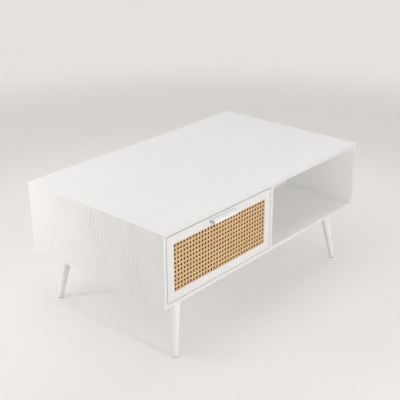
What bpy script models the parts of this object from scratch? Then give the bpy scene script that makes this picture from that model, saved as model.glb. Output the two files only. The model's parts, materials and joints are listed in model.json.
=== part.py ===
"""Storage coffee table.

A low white box on four splayed round legs. Each long side has a drawer with a
cane-covered front at its left and an open shelf at its right, back to back
with the other side's across a partition in the middle.

Run it with: blender --background --python part.py
X runs along the table, Y across it, from the front to the rear, and Z up. The
origin is on the floor, under the middle of the table. Lengths are in metres.
"""

import math

import bmesh
import bpy
from mathutils import Matrix, Vector

# The whole table
TABLE_LENGTH = 1.000
TABLE_WIDTH = 0.600
BODY_HEIGHT = 0.240
FLOOR_TO_BODY = 0.2025

# Room between two pieces that touch, and how far a cutter passes what it cuts
FIT = 0.0003
OVERRUN = 0.002

# Faces that meet at less than this angle are shaded as one round surface
SMOOTH_ANGLE = math.radians(40)

# Carcass boards, which meet in mitres at the four long corners
BOARD = 0.012
CORNER_RADIUS = 0.0016
CORNER_STEPS = 3
EDGE_BEVEL = 0.0006
EDGE_STEPS = 2

# Round legs, splayed outward to the table's corners
LEG_TOP_DIAMETER = 0.034
LEG_FOOT_DIAMETER = 0.019
LEG_TOP_INSET_X = 0.1035
LEG_TOP_INSET_Y = 0.0575
LEG_FOOT_INSET_X = 0.0685
LEG_FOOT_INSET_Y = 0.029
LEG_SIDES = 32
PAD_DIAMETER = 0.0175
PAD_THICKNESS = 0.0025
PAD_SIDES = 24

# Steel plate that each leg screws into, with a threaded boss on top
PLATE_SIDE = 0.064
PLATE_THICKNESS = 0.0025
PLATE_CORNER = 0.008
PLATE_CORNER_STEPS = 3
PLATE_SCREW_INSET = 0.010
PLATE_SCREW_DIAMETER = 0.0045
BOSS_DIAMETER = 0.016
BOSS_HEIGHT = 0.0065
BOSS_SIDES = 20
BOLT_DIAMETER = 0.008
BOLT_IN_LEG = 0.032
BOLT_CHAMFER = 0.001
BOLT_SIDES = 12
SCREW_SIDES = 8

# Drawer front: a painted frame round a sheet of cane on a dark board
FRONT_SIDE_GAP = 0.0025
FRONT_END_GAP = 0.003
FRONT_THICKNESS = 0.016
FRONT_BEVEL = 0.0008
FRAME_MEMBER = 0.028
REBATE_WIDTH = 0.008
REBATE_DEPTH = 0.006
CANE_RECESS = 0.0015
CANE_THICKNESS = 0.0022
CANE_GAPS_ALONG = 24
CANE_GAPS_UP = 9
CANE_GAP_SHARE = 0.46

# Pull: a bent channel, open below and closed at its ends, screwed on from behind
PULL_LENGTH = 0.110
PULL_PROJECTION = 0.019
PULL_HEIGHT = 0.0105
PULL_DROP = 0.0065
PULL_WALL = 0.0016
PULL_END = 0.0015
PULL_FLANGE = 0.003
PULL_ROUND = 0.0008
PULL_ROUND_STEPS = 2
PULL_SCREW_SPACING = 0.064
PULL_SCREW_DIAMETER = 0.004
PULL_SCREW_HEAD_DIAMETER = 0.008
PULL_SCREW_HEAD_HEIGHT = 0.0024
PULL_SCREW_SIDES = 12

# Drawer box, with the room round it: under it, below the pull's screws and behind
BOX_BOARD = 0.012
BOX_LIFT = 0.018
BOX_TOP_ROOM = 0.029
BOX_REAR_ROOM = 0.022
BOX_BOTTOM = 0.004
BOX_GROOVE_DEPTH = 0.005
BOX_GROOVE_LIFT = 0.010

# Ball-bearing slides, one at each side of a drawer, as long as its box allows
SLIDE_ROOM = 0.0127
SLIDE_SETBACK = 0.002
SLIDE_END_ROOM = 0.004
SLIDE_TRAVEL = 0.180
SLIDE_STEEL = 0.0012
OUTER_HEIGHT = 0.035
OUTER_DEPTH = 0.0104
OUTER_LIP = 0.0025
INNER_HEIGHT = 0.022
CAGE_STEEL = 0.0008
CAGE_SPARE = 0.004
BALL_ROWS_SHARES = (-0.3, 0.3)

# Places that follow from the sizes
HALF_LENGTH = TABLE_LENGTH / 2
HALF_WIDTH = TABLE_WIDTH / 2
HALF_BOARD = BOARD / 2
BODY_TOP = FLOOR_TO_BODY + BODY_HEIGHT
END_INSIDE = HALF_LENGTH - BOARD
CAVITY_LOW = FLOOR_TO_BODY + BOARD
CAVITY_HIGH = BODY_TOP - BOARD
MITRE_ROOM = FIT * math.sqrt(2)
PLATE_TOP = FLOOR_TO_BODY - FIT
PLATE_BOTTOM = PLATE_TOP - PLATE_THICKNESS
LEG_TOP = PLATE_BOTTOM - FIT
LEG_BOTTOM = PAD_THICKNESS + FIT
BOSS_TOP = PLATE_TOP + BOSS_HEIGHT

# Places in a drawer's own frame: X is zero at the middle of its bay, Y is
# zero at the table's face and grows inward, and Z is the table's height.
BAY_WIDTH = END_INSIDE - HALF_BOARD
BAY_CENTRE = HALF_BOARD + BAY_WIDTH / 2
FRONT_HALF = BAY_WIDTH / 2 - FRONT_SIDE_GAP
FRONT_LOW = CAVITY_LOW + FRONT_END_GAP
FRONT_HIGH = CAVITY_HIGH - FRONT_END_GAP
FRONT_MIDDLE = (FRONT_LOW + FRONT_HIGH) / 2
OPENING_HALF = FRONT_HALF - FRAME_MEMBER
OPENING_LOW = FRONT_LOW + FRAME_MEMBER
OPENING_HIGH = FRONT_HIGH - FRAME_MEMBER
BOX_FRONT_FACE = FRONT_THICKNESS + FIT
BOX_HALF = BAY_WIDTH / 2 - SLIDE_ROOM
PULL_HIGH = FRONT_HIGH - PULL_DROP
PULL_LOW = PULL_HIGH - PULL_HEIGHT
PULL_MIDDLE = (PULL_LOW + PULL_HIGH) / 2
BOX_LOW = CAVITY_LOW + BOX_LIFT
BOX_HIGH = PULL_MIDDLE - PULL_SCREW_HEAD_DIAMETER / 2 - BOX_TOP_ROOM
BOX_BACK_FACE = HALF_WIDTH - HALF_BOARD - BOX_REAR_ROOM
BOTTOM_LOW = BOX_LOW + BOX_GROOVE_LIFT
SLIDE_MIDDLE = (BOX_LOW + BOX_HIGH) / 2
SLIDE_FRONT = FRONT_THICKNESS + SLIDE_SETBACK
SLIDE_REAR = BOX_BACK_FACE - SLIDE_END_ROOM
SLIDE_LENGTH = SLIDE_REAR - SLIDE_FRONT


def clear_scene():
    """Removes every object, so the table is all that the file holds."""
    for old in list(bpy.data.objects):
        bpy.data.objects.remove(old, do_unlink=True)


def make_finish(name, colour, roughness, metallic=0.0):
    """Makes a plain material from a linear colour."""
    finish = bpy.data.materials.new(name)
    finish.use_nodes = True
    shader = finish.node_tree.nodes["Principled BSDF"]
    shader.inputs["Base Color"].default_value = (*colour, 1.0)
    shader.inputs["Roughness"].default_value = roughness
    shader.inputs["Metallic"].default_value = metallic
    finish.diffuse_color = (*colour, 1.0)
    return finish


def add_object(name, shape, finish, parent=None, smooth_angle=None, origin=None):
    """Makes an object of a mesh, with its origin at the mesh's middle."""
    bmesh.ops.recalc_face_normals(shape, faces=shape.faces)
    if origin is None:
        corners = [vertex.co for vertex in shape.verts]
        low = Vector([min(corner[axis] for corner in corners) for axis in range(3)])
        high = Vector([max(corner[axis] for corner in corners) for axis in range(3)])
        origin = (low + high) / 2
    bmesh.ops.translate(shape, verts=shape.verts, vec=-Vector(origin))
    mesh = bpy.data.meshes.new(name)
    shape.to_mesh(mesh)
    shape.free()
    if smooth_angle is not None:
        mesh.shade_smooth()
        mesh.set_sharp_from_angle(angle=smooth_angle)
    mesh.materials.append(finish)
    piece = bpy.data.objects.new(name, mesh)
    bpy.context.collection.objects.link(piece)
    piece.location = origin
    piece.parent = parent
    return piece


def add_cutter(name, shape, parent=None):
    """Makes an object that only cuts or adds to another one."""
    cutter = add_object(name, shape, STEEL, parent=parent)
    cutter.hide_render = True
    cutter.display_type = "WIRE"
    return cutter


def add_boolean(piece, cutter, operation="DIFFERENCE"):
    """Cuts or joins a piece with an exact Boolean."""
    step = piece.modifiers.new(operation.title(), "BOOLEAN")
    step.operation = operation
    step.solver = "EXACT"
    step.object = cutter


def add_bevel(piece, width, steps):
    """Rounds a piece's square edges."""
    bevel = piece.modifiers.new("Bevel", "BEVEL")
    bevel.width = width
    bevel.segments = steps
    bevel.limit_method = "ANGLE"


def add_empty(name, place, turn=0.0, parent=None):
    """Makes a point that pieces hang from."""
    empty = bpy.data.objects.new(name, None)
    bpy.context.collection.objects.link(empty)
    empty.location = place
    empty.rotation_euler = (0.0, 0.0, turn)
    empty.parent = parent
    return empty


def put_box(shape, low, high):
    """Adds a box between two corners to a mesh."""
    size = Vector(high) - Vector(low)
    middle = (Vector(high) + Vector(low)) / 2
    made = bmesh.ops.create_cube(shape, size=1.0)
    bmesh.ops.scale(shape, verts=made["verts"], vec=size)
    bmesh.ops.translate(shape, verts=made["verts"], vec=middle)


def put_rod(shape, start, end, start_radius, end_radius, sides):
    """Adds a straight or tapered rod between two points to a mesh."""
    start = Vector(start)
    end = Vector(end)
    along = end - start
    turn = Vector((0.0, 0.0, 1.0)).rotation_difference(along).to_matrix().to_4x4()
    place = Matrix.Translation((start + end) / 2) @ turn
    bmesh.ops.create_cone(
        shape, cap_ends=True, segments=sides, radius1=start_radius,
        radius2=end_radius, depth=along.length, matrix=place)


def put_prism(shape, outline, axis, low, high):
    """Adds an outline, given on the two other axes, drawn out along an axis."""
    others = [index for index in range(3) if index != axis]
    ring = []
    for first, second in outline:
        point = [0.0, 0.0, 0.0]
        point[axis] = low
        point[others[0]] = first
        point[others[1]] = second
        ring.append(shape.verts.new(point))
    face = shape.faces.new(ring)
    drawn = bmesh.ops.extrude_face_region(shape, geom=[face])
    moved = [item for item in drawn["geom"] if isinstance(item, bmesh.types.BMVert)]
    step = [0.0, 0.0, 0.0]
    step[axis] = high - low
    bmesh.ops.translate(shape, verts=moved, vec=step)


def put_turned(shape, profile, sides):
    """Adds a solid of revolution about Z from (radius, height) pairs."""
    rings = []
    for radius, height in profile:
        ring = []
        for index in range(sides):
            angle = 2 * math.pi * index / sides
            place = (radius * math.cos(angle), radius * math.sin(angle), height)
            ring.append(shape.verts.new(place))
        rings.append(ring)
    for lower, upper in zip(rings, rings[1:]):
        for index in range(sides):
            after = (index + 1) % sides
            shape.faces.new((lower[index], lower[after], upper[after], upper[index]))
    shape.faces.new(rings[0])
    shape.faces.new(rings[-1])


def arc(centre, radius, start, end, steps):
    """Gives the points of an arc, its end included."""
    points = []
    for index in range(steps + 1):
        angle = start + (end - start) * index / steps
        points.append((centre[0] + radius * math.cos(angle), centre[1] + radius * math.sin(angle)))
    return points


def make_board(name, low, high, finish, parent=None, bevelled=True):
    """Makes a plain board between two corners, with its edges eased."""
    shape = bmesh.new()
    put_box(shape, low, high)
    board = add_object(name, shape, finish, parent=parent)
    if bevelled:
        add_bevel(board, EDGE_BEVEL, EDGE_STEPS)
    return board


def is_square(amount):
    """Says whether a part of a unit normal points along its axis."""
    return math.isclose(abs(amount), 1.0, abs_tol=1e-4)


def bevel_long_faces(shape):
    """Eases the edges of a drawn outline where its flat faces meet its ends."""
    edges = []
    for edge in shape.edges:
        flat = [face for face in edge.link_faces if any(is_square(part) for part in face.normal)]
        ends = [face for face in flat if is_square(face.normal.y)]
        if len(flat) == 2 and len(ends) == 1:
            edges.append(edge)
    bmesh.ops.bevel(
        shape, geom=edges, offset=EDGE_BEVEL, segments=EDGE_STEPS, profile=0.5, affect="EDGES")


def make_carcass():
    """Makes the four mitred boards, the partition and the two dividers."""
    eighth = math.pi / 4
    quarter = math.pi / 2
    round_x = HALF_LENGTH - CORNER_RADIUS
    round_z = BODY_HEIGHT / 2 - CORNER_RADIUS
    body_middle = FLOOR_TO_BODY + BODY_HEIGHT / 2

    # The long board's outline, for the top: mitred ends with a rounded corner
    right_corner = arc((round_x, round_z), CORNER_RADIUS, eighth, quarter, CORNER_STEPS)
    left_corner = [(-x, z) for x, z in reversed(right_corner)]
    inner = [(-END_INSIDE, BODY_HEIGHT / 2 - BOARD), (END_INSIDE, BODY_HEIGHT / 2 - BOARD)]
    long_outline = right_corner + left_corner + inner
    for name, side in (("top_panel", 1), ("bottom_panel", -1)):
        shape = bmesh.new()
        outline = [(x, body_middle + side * z) for x, z in long_outline]
        put_prism(shape, outline, 1, -HALF_WIDTH, HALF_WIDTH)
        bmesh.ops.recalc_face_normals(shape, faces=shape.faces)
        bevel_long_faces(shape)
        add_object(name, shape, WHITE_PAINT, smooth_angle=SMOOTH_ANGLE)

    # The end board's outline, for the right: the same corners from the other side
    top_corner = arc((round_x, round_z - MITRE_ROOM), CORNER_RADIUS, eighth, 0.0, CORNER_STEPS)
    low_corner = [(x, -z) for x, z in reversed(top_corner)]
    inner_z = BODY_HEIGHT / 2 - BOARD - MITRE_ROOM
    end_outline = top_corner + low_corner + [(END_INSIDE, -inner_z), (END_INSIDE, inner_z)]
    for name, side in (("right_end_panel", 1), ("left_end_panel", -1)):
        shape = bmesh.new()
        outline = [(side * x, body_middle + z) for x, z in end_outline]
        put_prism(shape, outline, 1, -HALF_WIDTH, HALF_WIDTH)
        bmesh.ops.recalc_face_normals(shape, faces=shape.faces)
        bevel_long_faces(shape)
        add_object(name, shape, WHITE_PAINT, smooth_angle=SMOOTH_ANGLE)

    low = CAVITY_LOW + FIT
    high = CAVITY_HIGH - FIT
    inside = END_INSIDE - FIT
    make_board(
        "centre_partition", (-inside, -HALF_BOARD, low), (inside, HALF_BOARD, high), WHITE_PAINT,
        bevelled=False)
    for name, side in (("front_divider", -1), ("rear_divider", 1)):
        ends = sorted((side * HALF_WIDTH, side * (HALF_BOARD + FIT)))
        make_board(name, (-HALF_BOARD, ends[0], low), (HALF_BOARD, ends[1], high), WHITE_PAINT)


def leg_axis_point(corner, height):
    """Gives the point of a leg's middle line at a height above the floor."""
    share = height / FLOOR_TO_BODY
    inset_x = LEG_FOOT_INSET_X + (LEG_TOP_INSET_X - LEG_FOOT_INSET_X) * share
    inset_y = LEG_FOOT_INSET_Y + (LEG_TOP_INSET_Y - LEG_FOOT_INSET_Y) * share
    return Vector((corner[0] * (HALF_LENGTH - inset_x), corner[1] * (HALF_WIDTH - inset_y), height))


def leg_radius(height):
    """Gives a leg's radius at a height above the floor."""
    share = height / FLOOR_TO_BODY
    return (LEG_FOOT_DIAMETER + (LEG_TOP_DIAMETER - LEG_FOOT_DIAMETER) * share) / 2


def make_leg(name, corner):
    """Makes one leg with its floor pad, plate and bolt, and its socket in the bottom."""
    # A taper longer than the leg, cut level at both ends
    shape = bmesh.new()
    low_end = LEG_BOTTOM - LEG_FOOT_DIAMETER
    high_end = LEG_TOP + LEG_TOP_DIAMETER
    put_rod(
        shape, leg_axis_point(corner, low_end), leg_axis_point(corner, high_end),
        leg_radius(low_end), leg_radius(high_end), LEG_SIDES)
    for height, outward in ((LEG_BOTTOM, -1.0), (LEG_TOP, 1.0)):
        whole = list(shape.verts) + list(shape.edges) + list(shape.faces)
        sliced = bmesh.ops.bisect_plane(
            shape, geom=whole, plane_co=(0.0, 0.0, height), plane_no=(0.0, 0.0, outward),
            clear_outer=True)
        rim = [item for item in sliced["geom_cut"] if isinstance(item, bmesh.types.BMEdge)]
        bmesh.ops.holes_fill(shape, edges=rim)
    leg = add_object(
        name + "_leg", shape, WHITE_PAINT, smooth_angle=SMOOTH_ANGLE,
        origin=leg_axis_point(corner, LEG_TOP))

    # The bolt follows the leg's middle line, so its ends are worked out along it
    line = (leg_axis_point(corner, FLOOR_TO_BODY) - leg_axis_point(corner, 0.0)).normalized()
    bolt_top = leg_axis_point(corner, BOSS_TOP - BOLT_DIAMETER / 4)
    bolt_low = leg_axis_point(corner, LEG_TOP) - line * BOLT_IN_LEG
    bolt_length = (bolt_top - bolt_low).length
    bolt_radius = BOLT_DIAMETER / 2
    tip_radius = bolt_radius - BOLT_CHAMFER
    shape = bmesh.new()
    put_turned(shape, (
        (tip_radius, 0.0), (bolt_radius, BOLT_CHAMFER),
        (bolt_radius, bolt_length - BOLT_CHAMFER), (tip_radius, bolt_length)), BOLT_SIDES)
    bolt = add_object(
        name + "_leg_bolt", shape, STEEL, smooth_angle=SMOOTH_ANGLE, origin=(0.0, 0.0, 0.0))
    bolt.location = bolt_low
    bolt.rotation_euler = Vector((0.0, 0.0, 1.0)).rotation_difference(line).to_euler()

    hole_radius = bolt_radius + FIT / math.cos(math.pi / BOLT_SIDES)
    shape = bmesh.new()
    put_rod(
        shape, bolt_low - line * FIT, bolt_top + line * BOLT_DIAMETER, hole_radius, hole_radius,
        BOLT_SIDES)
    bolt_hole = add_cutter(name + "_bolt_hole", shape)
    add_boolean(leg, bolt_hole)

    # The plate lies flat under the bottom board, with its boss let into it
    seat = leg_axis_point(corner, PLATE_TOP)
    half = PLATE_SIDE / 2
    round_centre = half - PLATE_CORNER
    outline = []
    for turn in range(4):
        start = turn * math.pi / 2
        quadrant = start + math.pi / 4
        centre = (
            seat.x + math.copysign(round_centre, math.cos(quadrant)),
            seat.y + math.copysign(round_centre, math.sin(quadrant)))
        outline += arc(centre, PLATE_CORNER, start, start + math.pi / 2, PLATE_CORNER_STEPS)
    shape = bmesh.new()
    put_prism(shape, outline, 2, PLATE_BOTTOM, PLATE_TOP)
    plate = add_object(name + "_leg_plate", shape, STEEL, smooth_angle=SMOOTH_ANGLE)
    shape = bmesh.new()
    put_rod(
        shape, (seat.x, seat.y, PLATE_TOP - PLATE_THICKNESS / 2), (seat.x, seat.y, BOSS_TOP),
        BOSS_DIAMETER / 2, BOSS_DIAMETER / 2, BOSS_SIDES)
    add_boolean(plate, add_cutter(name + "_plate_boss", shape), "UNION")
    shape = bmesh.new()
    reach = half - PLATE_SCREW_INSET
    for side_x in (-1, 1):
        for side_y in (-1, 1):
            spot = (seat.x + side_x * reach, seat.y + side_y * reach)
            put_rod(
                shape, (*spot, PLATE_BOTTOM - OVERRUN), (*spot, PLATE_TOP + OVERRUN),
                PLATE_SCREW_DIAMETER / 2, PLATE_SCREW_DIAMETER / 2, SCREW_SIDES)
    add_boolean(plate, add_cutter(name + "_plate_holes", shape))
    add_boolean(plate, bolt_hole)

    # The boss's socket in the bottom board
    shape = bmesh.new()
    socket_radius = BOSS_DIAMETER / 2 + FIT / math.cos(math.pi / BOSS_SIDES)
    put_rod(
        shape, (seat.x, seat.y, FLOOR_TO_BODY - OVERRUN), (seat.x, seat.y, BOSS_TOP + FIT),
        socket_radius, socket_radius, BOSS_SIDES)
    add_boolean(bpy.data.objects["bottom_panel"], add_cutter(name + "_boss_socket", shape))

    shape = bmesh.new()
    foot = leg_axis_point(corner, 0.0)
    put_rod(
        shape, foot, foot + Vector((0.0, 0.0, PAD_THICKNESS)), PAD_DIAMETER / 2, PAD_DIAMETER / 2,
        PAD_SIDES)
    add_object(name + "_foot_pad", shape, FELT, smooth_angle=SMOOTH_ANGLE)


def net_lines(length, gaps):
    """Gives the places across a sheet where its strands and gaps meet."""
    pitch = length / gaps
    gap = pitch * CANE_GAP_SHARE
    lines = [-length / 2]
    for index in range(gaps):
        middle = -length / 2 + pitch * (index + 0.5)
        lines += [middle - gap / 2, middle + gap / 2]
    lines.append(length / 2)
    return lines


def make_cane(name, parent):
    """Makes the cane sheet: strands both ways round a grid of square gaps."""
    shape = bmesh.new()
    across = net_lines(2 * (OPENING_HALF - FIT), CANE_GAPS_ALONG)
    up = net_lines(OPENING_HIGH - OPENING_LOW - 2 * FIT, CANE_GAPS_UP)
    last_x = len(across) - 1
    last_z = len(up) - 1
    points = {}
    for layer, depth in enumerate((CANE_RECESS, CANE_RECESS + CANE_THICKNESS)):
        for row, z in enumerate(up):
            outer_row = row in (0, last_z)
            for column, x in enumerate(across):
                if not outer_row or column in (0, last_x):
                    place = (x, depth, FRONT_MIDDLE + z)
                    points[layer, column, row] = shape.verts.new(place)

    for layer in (0, 1):
        # Rows of strands and gaps, but for the two at the sheet's long edges
        for row in range(1, last_z - 1):
            for column in range(last_x):
                if row % 2 and column % 2:
                    continue
                corners = ((column, row), (column + 1, row), (column + 1, row + 1), (column, row + 1))
                shape.faces.new([points[layer, x, z] for x, z in corners])
        # The long edges fan out from one corner of the sheet
        for edge_row, next_row in ((0, 1), (last_z, last_z - 1)):
            tip = points[layer, 0, edge_row]
            for column in range(last_x):
                shape.faces.new((tip, points[layer, column, next_row], points[layer, column + 1, next_row]))
            shape.faces.new((tip, points[layer, last_x, next_row], points[layer, last_x, edge_row]))

    def put_wall(start, end):
        shape.faces.new((points[0, *start], points[0, *end], points[1, *end], points[1, *start]))

    for row in range(1, last_z, 2):
        for column in range(1, last_x, 2):
            corners = ((column, row), (column + 1, row), (column + 1, row + 1), (column, row + 1))
            for index in range(4):
                put_wall(corners[index], corners[(index + 1) % 4])
    for column in (0, last_x):
        for row in range(last_z):
            put_wall((column, row), (column, row + 1))
    for row in (0, last_z):
        put_wall((0, row), (last_x, row))
    add_object(name, shape, CANE, parent=parent)


def make_front(prefix, parent):
    """Makes a drawer's front: the frame, the cane sheet and the board behind it."""
    shape = bmesh.new()
    put_box(shape, (-FRONT_HALF, 0.0, FRONT_LOW), (FRONT_HALF, FRONT_THICKNESS, FRONT_HIGH))
    frame = add_object(prefix + "_front_frame", shape, WHITE_PAINT, parent=parent)
    add_bevel(frame, FRONT_BEVEL, EDGE_STEPS)
    shape = bmesh.new()
    put_box(
        shape, (-OPENING_HALF, -OVERRUN, OPENING_LOW),
        (OPENING_HALF, FRONT_THICKNESS + OVERRUN, OPENING_HIGH))
    add_boolean(frame, add_cutter(prefix + "_opening_cutter", shape, parent))
    rebate_face = FRONT_THICKNESS - REBATE_DEPTH
    shape = bmesh.new()
    put_box(
        shape, (-OPENING_HALF - REBATE_WIDTH, rebate_face, OPENING_LOW - REBATE_WIDTH),
        (OPENING_HALF + REBATE_WIDTH, FRONT_THICKNESS + OVERRUN, OPENING_HIGH + REBATE_WIDTH))
    add_boolean(frame, add_cutter(prefix + "_rebate_cutter", shape, parent))

    # The board's thick middle fills the opening, and its rim lies in the rebate
    shape = bmesh.new()
    field = OPENING_HALF - FIT
    put_box(
        shape, (-field, CANE_RECESS + CANE_THICKNESS + FIT, OPENING_LOW + FIT),
        (field, FRONT_THICKNESS, OPENING_HIGH - FIT))
    backing = add_object(prefix + "_cane_backing", shape, DARK_BOARD, parent=parent)
    rim = REBATE_WIDTH - FIT
    shape = bmesh.new()
    put_box(
        shape, (-OPENING_HALF - rim, rebate_face + FIT, OPENING_LOW - rim),
        (OPENING_HALF + rim, FRONT_THICKNESS, OPENING_HIGH + rim))
    add_boolean(backing, add_cutter(prefix + "_backing_rim", shape, parent), "UNION")

    make_cane(prefix + "_cane_panel", parent)

    # Clearance holes for the two screws of the pull
    shape = bmesh.new()
    screw_room = PULL_SCREW_DIAMETER / 2 + FIT / math.cos(math.pi / PULL_SCREW_SIDES)
    for side in (-1, 1):
        spot = side * PULL_SCREW_SPACING / 2
        put_rod(
            shape, (spot, -PULL_FLANGE - OVERRUN, PULL_MIDDLE),
            (spot, FRONT_THICKNESS + OVERRUN, PULL_MIDDLE), screw_room, screw_room, PULL_SCREW_SIDES)
    screw_holes = add_cutter(prefix + "_pull_holes", shape, parent)
    add_boolean(frame, screw_holes)
    make_pull(prefix, parent, screw_holes)


def make_pull(prefix, parent, screw_holes):
    """Makes the pull, a channel open below with closed ends, and its two screws."""
    tip = -PULL_PROJECTION
    back = -FIT
    quarter = math.pi / 2
    inside_round = PULL_ROUND
    outside_round = PULL_ROUND + PULL_WALL
    lip_inside = tip + PULL_WALL
    flange_inside = back - PULL_FLANGE
    roof = PULL_HIGH - PULL_WALL
    outer_centre = (tip + outside_round, PULL_HIGH - outside_round)
    outline = arc(outer_centre, outside_round, 2 * quarter, quarter, PULL_ROUND_STEPS)
    outline += [(back, PULL_HIGH), (back, PULL_LOW), (tip, PULL_LOW)]
    shape = bmesh.new()
    put_prism(shape, outline, 0, -PULL_LENGTH / 2, PULL_LENGTH / 2)
    pull = add_object(prefix + "_pull", shape, WHITE_METAL, parent=parent, smooth_angle=SMOOTH_ANGLE)

    # The hollow stops short of both ends
    hollow = [(flange_inside, PULL_LOW - OVERRUN)]
    hollow += arc(
        (flange_inside - inside_round, roof - inside_round), inside_round, 0.0, quarter,
        PULL_ROUND_STEPS)
    hollow += arc(
        (lip_inside + inside_round, roof - inside_round), inside_round, quarter, 2 * quarter,
        PULL_ROUND_STEPS)
    hollow += [(lip_inside, PULL_LOW - OVERRUN)]
    hollow_half = PULL_LENGTH / 2 - PULL_END
    shape = bmesh.new()
    put_prism(shape, hollow, 0, -hollow_half, hollow_half)
    add_boolean(pull, add_cutter(prefix + "_pull_hollow", shape, parent))
    add_boolean(pull, screw_holes)

    shank_length = FRONT_THICKNESS + PULL_FLANGE
    head_radius = PULL_SCREW_HEAD_DIAMETER / 2
    shank_radius = PULL_SCREW_DIAMETER / 2
    crown_radius = head_radius - PULL_SCREW_HEAD_HEIGHT / 2
    profile = (
        (shank_radius, 0.0), (shank_radius, shank_length), (head_radius, shank_length),
        (head_radius, shank_length + PULL_SCREW_HEAD_HEIGHT / 2),
        (crown_radius, shank_length + PULL_SCREW_HEAD_HEIGHT))
    for side_name, side in (("left", -1), ("right", 1)):
        shape = bmesh.new()
        put_turned(shape, profile, PULL_SCREW_SIDES)
        name = prefix + "_pull_screw_" + side_name
        screw = add_object(
            name, shape, STEEL, parent=parent, smooth_angle=SMOOTH_ANGLE, origin=(0.0, 0.0, 0.0))
        seat = FRONT_THICKNESS + FIT - shank_length
        screw.location = (side * PULL_SCREW_SPACING / 2, seat, PULL_MIDDLE)
        screw.rotation_euler = (-quarter, 0.0, 0.0)


def make_box(prefix, parent):
    """Makes a drawer's box: four boards grooved for a thin bottom."""
    side_inside = BOX_HALF - BOX_BOARD
    between = side_inside - FIT
    front_inside = BOX_FRONT_FACE + BOX_BOARD
    back_inside = BOX_BACK_FACE - BOX_BOARD
    boards = (
        ("_box_left", (-BOX_HALF, BOX_FRONT_FACE), (-side_inside, BOX_BACK_FACE)),
        ("_box_right", (side_inside, BOX_FRONT_FACE), (BOX_HALF, BOX_BACK_FACE)),
        ("_box_front", (-between, BOX_FRONT_FACE), (between, front_inside)),
        ("_box_back", (-between, back_inside), (between, BOX_BACK_FACE)))

    # The bottom and the groove that it lies in, which is wider all round
    reach_x = side_inside + BOX_GROOVE_DEPTH
    reach_front = front_inside - BOX_GROOVE_DEPTH
    reach_back = back_inside + BOX_GROOVE_DEPTH
    bottom_high = BOTTOM_LOW + BOX_BOTTOM
    shape = bmesh.new()
    put_box(
        shape, (-reach_x - FIT, reach_front - FIT, BOTTOM_LOW - FIT),
        (reach_x + FIT, reach_back + FIT, bottom_high + FIT))
    groove = add_cutter(prefix + "_groove_cutter", shape, parent)
    for suffix, low, high in boards:
        board = make_board(prefix + suffix, (*low, BOX_LOW), (*high, BOX_HIGH), DRAWER_BOARD, parent)
        add_boolean(board, groove)
    make_board(
        prefix + "_box_bottom", (-reach_x, reach_front, BOTTOM_LOW),
        (reach_x, reach_back, bottom_high), DRAWER_BOARD, parent, bevelled=False)


def channel_outline(upper, side):
    """Gives a channel's whole outline from its upper half, for one side of a drawer."""
    lower = [(x, -z) for x, z in reversed(upper)]
    return [(side * x, SLIDE_MIDDLE + z) for x, z in upper + lower]


def make_slide(prefix, side_name, side, bay, drawer):
    """Makes one slide: its outer member, its ball cage and its inner member."""
    wall = BAY_WIDTH / 2 - FIT
    web = wall - SLIDE_STEEL
    mouth = wall - OUTER_DEPTH
    half = OUTER_HEIGHT / 2
    track = half - SLIDE_STEEL
    lip = track - OUTER_LIP
    lip_back = mouth + SLIDE_STEEL
    upper = [
        (web, track), (lip_back, track), (lip_back, lip), (mouth, lip), (mouth, half), (wall, half)]
    shape = bmesh.new()
    put_prism(shape, channel_outline(upper, side), 1, SLIDE_FRONT, SLIDE_REAR)
    add_object(prefix + "_slide_outer_" + side_name, shape, STEEL, parent=bay)

    # The cage runs between the members, with balls held above and below
    cage_wall = web - FIT
    cage_web = cage_wall - CAGE_STEEL
    ball_radius = (track - INNER_HEIGHT / 2) / 2 - FIT
    ball_height = (track + INNER_HEIGHT / 2) / 2
    cage_mouth = lip_back + FIT
    cage_half = ball_height + CAGE_STEEL / 2
    cage_track = ball_height - CAGE_STEEL / 2
    upper = [
        (cage_web, cage_track), (cage_mouth, cage_track), (cage_mouth, cage_half),
        (cage_wall, cage_half)]
    cage_length = SLIDE_LENGTH - SLIDE_TRAVEL - CAGE_SPARE
    cage_middle = (SLIDE_FRONT + SLIDE_REAR) / 2
    cage_front = cage_middle - cage_length / 2
    cage_rear = cage_middle + cage_length / 2
    shape = bmesh.new()
    put_prism(shape, channel_outline(upper, side), 1, cage_front, cage_rear)
    cage = add_object(prefix + "_ball_cage_" + side_name, shape, STEEL, parent=bay)
    shape = bmesh.new()
    ball_x = (cage_mouth + cage_web) / 2
    for row_share in BALL_ROWS_SHARES:
        for level in (-1, 1):
            place = (
                side * ball_x, cage_middle + row_share * cage_length, SLIDE_MIDDLE + level * ball_height)
            bmesh.ops.create_icosphere(
                shape, subdivisions=1, radius=ball_radius, matrix=Matrix.Translation(place))
    add_boolean(cage, add_cutter(prefix + "_balls_" + side_name, shape, bay), "UNION")

    # The inner member is a channel on the drawer's side, open to the wall
    inner_wall = BOX_HALF + FIT
    inner_web = inner_wall + SLIDE_STEEL
    inner_mouth = cage_web - FIT
    inner_half = INNER_HEIGHT / 2
    inner_track = inner_half - SLIDE_STEEL
    upper = [
        (inner_web, inner_track), (inner_mouth, inner_track), (inner_mouth, inner_half),
        (inner_wall, inner_half)]
    shape = bmesh.new()
    put_prism(shape, channel_outline(upper, side), 1, SLIDE_FRONT, SLIDE_REAR)
    add_object(prefix + "_slide_inner_" + side_name, shape, STEEL, parent=drawer)


def make_drawer(prefix, side, turn):
    """Makes the drawer of one long side, at the left as that side is faced."""
    bay = add_empty(prefix + "_bay", (side * BAY_CENTRE, side * HALF_WIDTH, 0.0), turn)
    drawer = add_empty(prefix, (0.0, 0.0, 0.0), parent=bay)
    make_front(prefix, drawer)
    make_box(prefix, drawer)
    for side_name, hand in (("left", -1), ("right", 1)):
        make_slide(prefix, side_name, hand, bay, drawer)


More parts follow.
